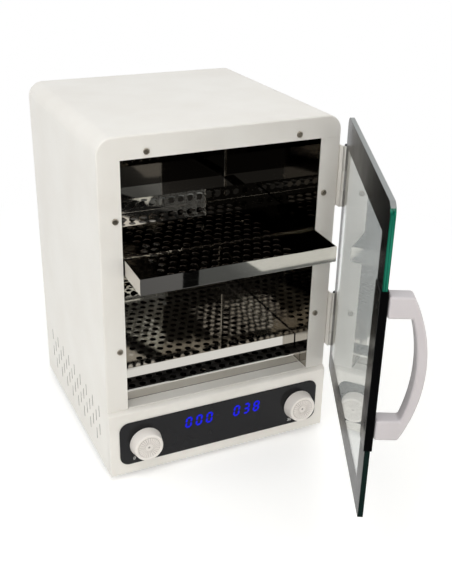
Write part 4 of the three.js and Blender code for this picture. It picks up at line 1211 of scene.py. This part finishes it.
def makeHingePin(end):
    sizes = leafSizes
    node = f"hinge_pin_{end}"
    _, _, (bottom, top) = boxOf(node)
    pin = addRod(f"hingePin.{end}", "z", sizes["pinRadius"], (bottom, top + sunk),
                 (hingeX, hingeY, 0), 24)
    head = addRod("pinHead", "z", sizes["pinHead"], (top, top + sizes["pinHeadHeight"]),
                  (hingeX, hingeY, 0), 24)
    combine(pin, "UNION", head)
    softenEdges(pin, sizes["pinEdge"], 3)
    paintFaces(pin, [finishes["black_screw"]])
    finishPiece(pin, "cabinet", "nickel", [node])


for end in ("upper", "lower"):
    makeDoorLeaf(end)
    makeCaseLeaf(end)
    makeHingePin(end)
print("hinges are made")


# Rear: panel with its screws, screwed inlet, marked rocker

rearSizes = {"cornerRadius": 16.2, "edge": 0.3, "screwInset": 6, "screwLevels": (14, 138, 262, 364),
             "screwRadius": 2.9, "screwHeight": 1.2, "recess": 2.8, "turn": 31,
             "inlet": (27.6, 20.4), "switch": (13.2, 19.2), "flangeScrew": 20,
             "flangeScrewRadius": 2.2, "markHeight": 4, "markLift": 0.05}


def makeRearScrews(name, places, radius):
    master = makeScrewHead("rearScrew", radius, rearSizes["screwHeight"], rearSizes["recess"])
    screws = [movedCopy(master, "rearScrew", shift(*place) @ turnAbout("Y", rearSizes["turn"] * i)
                        @ turnAbout("Z", 180)) for i, place in enumerate(places)]
    bpy.data.objects.remove(master)
    joined = joinPieces(*screws)
    joined.name = name
    finishPiece(joined, "cabinet", "nickel")


def makeBackPanel():
    sizes = rearSizes
    (left, right), (front, back), (bottom, top) = boxOf("back_panel")
    panel = addBlock("backPanel", (left, right), (front, back), (bottom, top))
    bevelEdges(panel, sizes["cornerRadius"], 12, along("y", lambda at: at.z > top - 1))
    for node, key in (("power_inlet", "inlet"), ("switch_housing", "switch")):
        x, _, z = middleOf(node)
        width, height = sizes[key]
        cutAway(panel, addBlock("fittingCutter", (x - width / 2, x + width / 2),
                                (front - past, back + past), (z - height / 2, z + height / 2)))
    softenEdges(panel, sizes["edge"])
    finishPiece(panel, "cabinet", "white_enamel", ["back_panel"])
    side = right - sizes["screwInset"]
    makeRearScrews("backPanelScrews", [
        (x, back, level) for x in (-side, side) for level in sizes["screwLevels"]],
        sizes["screwRadius"])


def makeInletScrews():
    x, _, z = middleOf("power_inlet")
    outside = boxOf("power_inlet")[1][1]
    makeRearScrews("inletScrews", [
        (x + side * rearSizes["flangeScrew"], outside, z) for side in (-1, 1)],
        rearSizes["flangeScrewRadius"])


def makeRockerMark(name, text, side):
    # printed on the sloped face of the rocker, wherever that face is at rest
    middle = middleOf("power_rocker")[2]
    faces = [face for face in nodes["power_rocker"].data.polygons
             if face.normal.y > 0.7 and (face.center.z / mm - middle) * side > 0.5]
    area = sum(face.area for face in faces)
    centre = sum((face.center * face.area for face in faces), Vector()) / area
    out = sum((face.normal * face.area for face in faces), Vector()).normalized()
    right = Vector((-1, 0, 0))
    turn = Matrix((right, out.cross(right), out)).transposed().to_4x4()
    mark = addWords(name, text, rearSizes["markHeight"], rearSizes["markLift"])
    mark.data.transform(Matrix.Translation(centre) @ turn)
    paintFaces(mark, [whiteInk])
    finishPiece(mark, "rocker", "black_plastic")


makeBackPanel()
makeInletScrews()
makeRockerMark("onMark", "I", 1)
makeRockerMark("offMark", "O", -1)
print("rear fittings are made")


# Feet: tapered rubber with a screw well

footSizes = {"tip": 7.5, "wellRadius": 3.4, "wellDepth": 4.5, "edge": 0.8}


def makeFoot(node):
    sizes = footSizes
    (left, right), _, (bottom, top) = boxOf(node)
    x, y, _ = middleOf(node)
    foot = addRod(node.replace("foot_", "foot.").replace("_", "."), "z", sizes["tip"],
                  (bottom, top), (x, y, 0), 40, (right - left) / 2)
    bevelEdges(foot, sizes["edge"], 3, lambda a, b: max(a.z, b.z) < bottom + close)
    cutAway(foot, addRod("wellCutter", "z", sizes["wellRadius"],
                         (bottom - past, bottom + sizes["wellDepth"]), (x, y, 0), 24))
    finishPiece(foot, "cabinet", "foot_rubber", [node])


for node in sorted(nodes):
    if node.startswith("foot_"):
        makeFoot(node)
print("feet are made")


# Floor, lights and camera

stageSizes = {"floorWidth": 6000, "floorFront": -5000, "floorBack": 5000, "sheet": 0.2,
              "whiteFrom": 350, "whiteAt": 800, "carpetStart": -250,
              "carpetEdge": (-345, -330), "edgeTurn": 14, "carpetLift": 0.4, "lift": 0.36,
              "daylight": 0.47}
# how light the studio floor looks in a mirror, from left to right (x and brightness)
carpetTones = [(-200, 0.03), (0, 0.05), (60, 0.12), (230, 0.15), (275, 0.25)]
# cards out in front: material, where they stand, colour and brightness; the trays show the
# two pale ones
cards = {
    "darkCard": ("blackFelt", (-3000, 3000), (-1720, -1700), (-50, 1120), "#FFF6EC", 0.006),
    "paleStrip": ("paleStrip", (272, 900), (-900, -640), (0.6, 0.8), "#FFFBF6", 1.15),
    "paleScreen": ("paleScreen", (150, 610), (-1698, -1696), (780, 1010), "#FFFBF6", 1.1),
}


def seenByLight(tree):
    # one where the ray that looks is the camera's own or comes by a mirror or through glass
    path = addNode(tree, "LightPath").outputs
    bright = addNode(tree, "Math", {0: path["Is Camera Ray"], 1: path["Is Glossy Ray"]},
                     operation="MAXIMUM")
    return addNode(tree, "Math", {0: bright, 1: path["Is Transmission Ray"]},
                   operation="MAXIMUM")


def emptyMaterial(name):
    material = bpy.data.materials.new(name)
    material.use_nodes = True
    material.node_tree.nodes.clear()
    return material, material.node_tree


def addSheet(name, x, y, material, lift=0):
    low = cadBounds[0][2] / mm + lift
    sheet = addBlock(name, x, y, (low - stageSizes["sheet"], low))
    sheet.data.materials.append(material)
    return sheet


def makeFloor():
    # white paper that keeps the shadow near the object and is plain white further out
    sizes = stageSizes
    material, tree = emptyMaterial("floorPaper")
    place = addNode(tree, "TexCoord").outputs["Object"]
    distance = addNode(tree, "VectorMath", {0: place}, operation="LENGTH")
    far = addNode(tree, "MapRange", {
        "Value": distance.outputs["Value"], "From Min": sizes["whiteFrom"] * mm,
        "From Max": sizes["whiteAt"] * mm})
    seen = seenByLight(tree)
    paper = addNode(tree, "BsdfDiffuse", {"Color": "#EDEDEB"})
    lift = addNode(tree, "MapRange", {"Value": seen, "To Max": sizes["lift"]})
    glow = addNode(tree, "Emission", {"Color": "#FFFFFF", "Strength": lift})
    near = addNode(tree, "AddShader", {0: paper, 1: glow})
    white = addNode(tree, "Emission", {"Color": "#FFFFFF", "Strength": 1.0})
    share = addNode(tree, "Math", {0: far, 1: seen}, operation="MULTIPLY")
    surface = addNode(tree, "MixShader", {"Fac": share, 1: near, 2: white})
    addNode(tree, "OutputMaterial", {"Surface": surface})
    half = sizes["floorWidth"] / 2
    addSheet("floor", (-half, half), (sizes["floorFront"], sizes["floorBack"]), material)


def seenInMirrors(tree, colour, strength=1.0):
    # a glow, clear to every look that hasn't met a mirror on its way
    depth = addNode(tree, "LightPath").outputs["Glossy Depth"]
    share = addNode(tree, "Math", {0: depth}, operation="GREATER_THAN")
    glow = addNode(tree, "Emission", {"Color": colour, "Strength": strength})
    surface = addNode(tree, "MixShader", {
        "Fac": share, 1: addNode(tree, "BsdfTransparent"), 2: glow})
    addNode(tree, "OutputMaterial", {"Surface": surface})


def makeDarkFront():
    # the dark studio in front, which only the polished steel and the glass look out on
    sizes = stageSizes
    material, tree = emptyMaterial("darkCarpet")
    place = addNode(tree, "TexCoord").outputs["Object"]
    x = addNode(tree, "SeparateXYZ", {"Vector": place}).outputs["X"]
    turned = addNode(tree, "Mapping", {
        "Vector": place, "Rotation": (0, 0, math.radians(sizes["edgeTurn"]))})
    y = addNode(tree, "SeparateXYZ", {"Vector": turned}).outputs["Y"]
    first, last = carpetTones[0][0], carpetTones[-1][0]
    across = addNode(tree, "MapRange", {
        "Value": x, "From Min": first * mm, "From Max": last * mm})
    tones = addNode(tree, "ValToRGB", {"Fac": across})
    stops = tones.color_ramp.elements
    for i, (x, tone) in enumerate(carpetTones):
        share = (x - first) / (last - first)
        stop = stops[i] if i == 0 else stops[-1] if share == 1 else stops.new(share)
        stop.color = (tone, tone, tone, 1)
    near = addNode(tree, "MapRange", {
        "Value": y, "From Min": sizes["carpetEdge"][0] * mm,
        "From Max": sizes["carpetEdge"][1] * mm})
    shade = addNode(tree, "Mix", {"Factor": near, "A": tones.outputs["Color"], "B": "#F6F6F4"},
                    data_type="RGBA")
    seenInMirrors(tree, shade)
    half = sizes["floorWidth"] / 2
    pieces = [addSheet("darkCarpet", (-half, half), (sizes["floorFront"], sizes["carpetStart"]),
                       material, sizes["carpetLift"])]
    for name, (finish, x, y, z, colour, strength) in cards.items():
        material, tree = emptyMaterial(finish)
        seenInMirrors(tree, colour, strength)
        card = addBlock(name, x, y, z)
        card.data.materials.append(material)
        pieces.append(card)
    for piece in pieces:
        piece.visible_camera = False
        piece.visible_diffuse = False
        piece.visible_shadow = False


def makeWorld():
    world = bpy.data.worlds.new("studio")
    bpy.context.scene.world = world
    world.use_nodes = True
    tree = world.node_tree
    tree.nodes.clear()
    strength = addNode(tree, "MapRange", {
        "Value": seenByLight(tree), "To Min": stageSizes["daylight"], "To Max": 1.0})
    sky = addNode(tree, "Background", {"Color": "#FFFFFF", "Strength": strength})
    addNode(tree, "OutputWorld", {"Surface": sky})


def addLamp(name, place, target, size, power, colour):
    lamp = bpy.data.objects.new(name, bpy.data.lights.new(name, "AREA"))
    bpy.context.collection.objects.link(lamp)
    lamp.location = Vector(place) * mm
    aim = (Vector(target) - Vector(place)).normalized()
    lamp.rotation_euler = aim.to_track_quat("-Z", "Y").to_euler()
    lamp.data.shape = "RECTANGLE"
    lamp.data.size = size[0] * mm
    lamp.data.size_y = size[1] * mm
    lamp.data.energy = power
    lamp.data.color = fromHex(colour)[:3]
    lamp.visible_glossy = False


def makeCamera():
    view = {"place": (-360.5, -892.8, 606.7), "azimuth": 0.446, "elevation": 0.447,
            "roll": 0.022, "lens": 53.37, "sensor": 36}
    camera = bpy.data.objects.new("photoCamera", bpy.data.cameras.new("photoCamera"))
    bpy.context.collection.objects.link(camera)
    az, el, roll = view["azimuth"], view["elevation"], view["roll"]
    forward = Vector((math.sin(az) * math.cos(el), math.cos(az) * math.cos(el), -math.sin(el)))
    right = forward.cross(Vector((0, 0, 1))).normalized()
    up = right.cross(forward)
    tiltedRight = math.cos(roll) * right + math.sin(roll) * up
    tiltedUp = math.cos(roll) * up - math.sin(roll) * right
    turn = Matrix((tiltedRight, tiltedUp, -forward)).transposed().to_4x4()
    camera.matrix_world = Matrix.Translation(Vector(view["place"]) * mm) @ turn
    camera.data.lens = view["lens"]
    camera.data.sensor_width = view["sensor"]
    camera.data.clip_start = 0.01
    bpy.context.scene.camera = camera


makeFloor()
makeDarkFront()
makeWorld()
addLamp("topSoftbox", (-300, -700, 1550), (0, -60, 250), (1500, 1300), 10.2, "#FFFFFF")
addLamp("leftSoftbox", (-1700, 100, 700), (-135, 0, 200), (1400, 1200), 5.8, "#FDFEFF")
addLamp("frontSoftbox", (-900, -1400, 900), (0, -130, 200), (1200, 1000), 4.5, "#FFF6EE")
addLamp("lowSoftbox", (600, -1500, 150), (110, -135, 40), (900, 200), 4, "#FFFAF4")
addLamp("rearSoftbox", (1300, 1400, 900), (100, 100, 200), (1300, 1100), 7, "#FFFFFF")
makeCamera()
bpy.context.scene.view_settings.view_transform = "Standard"

print("scene is ready")
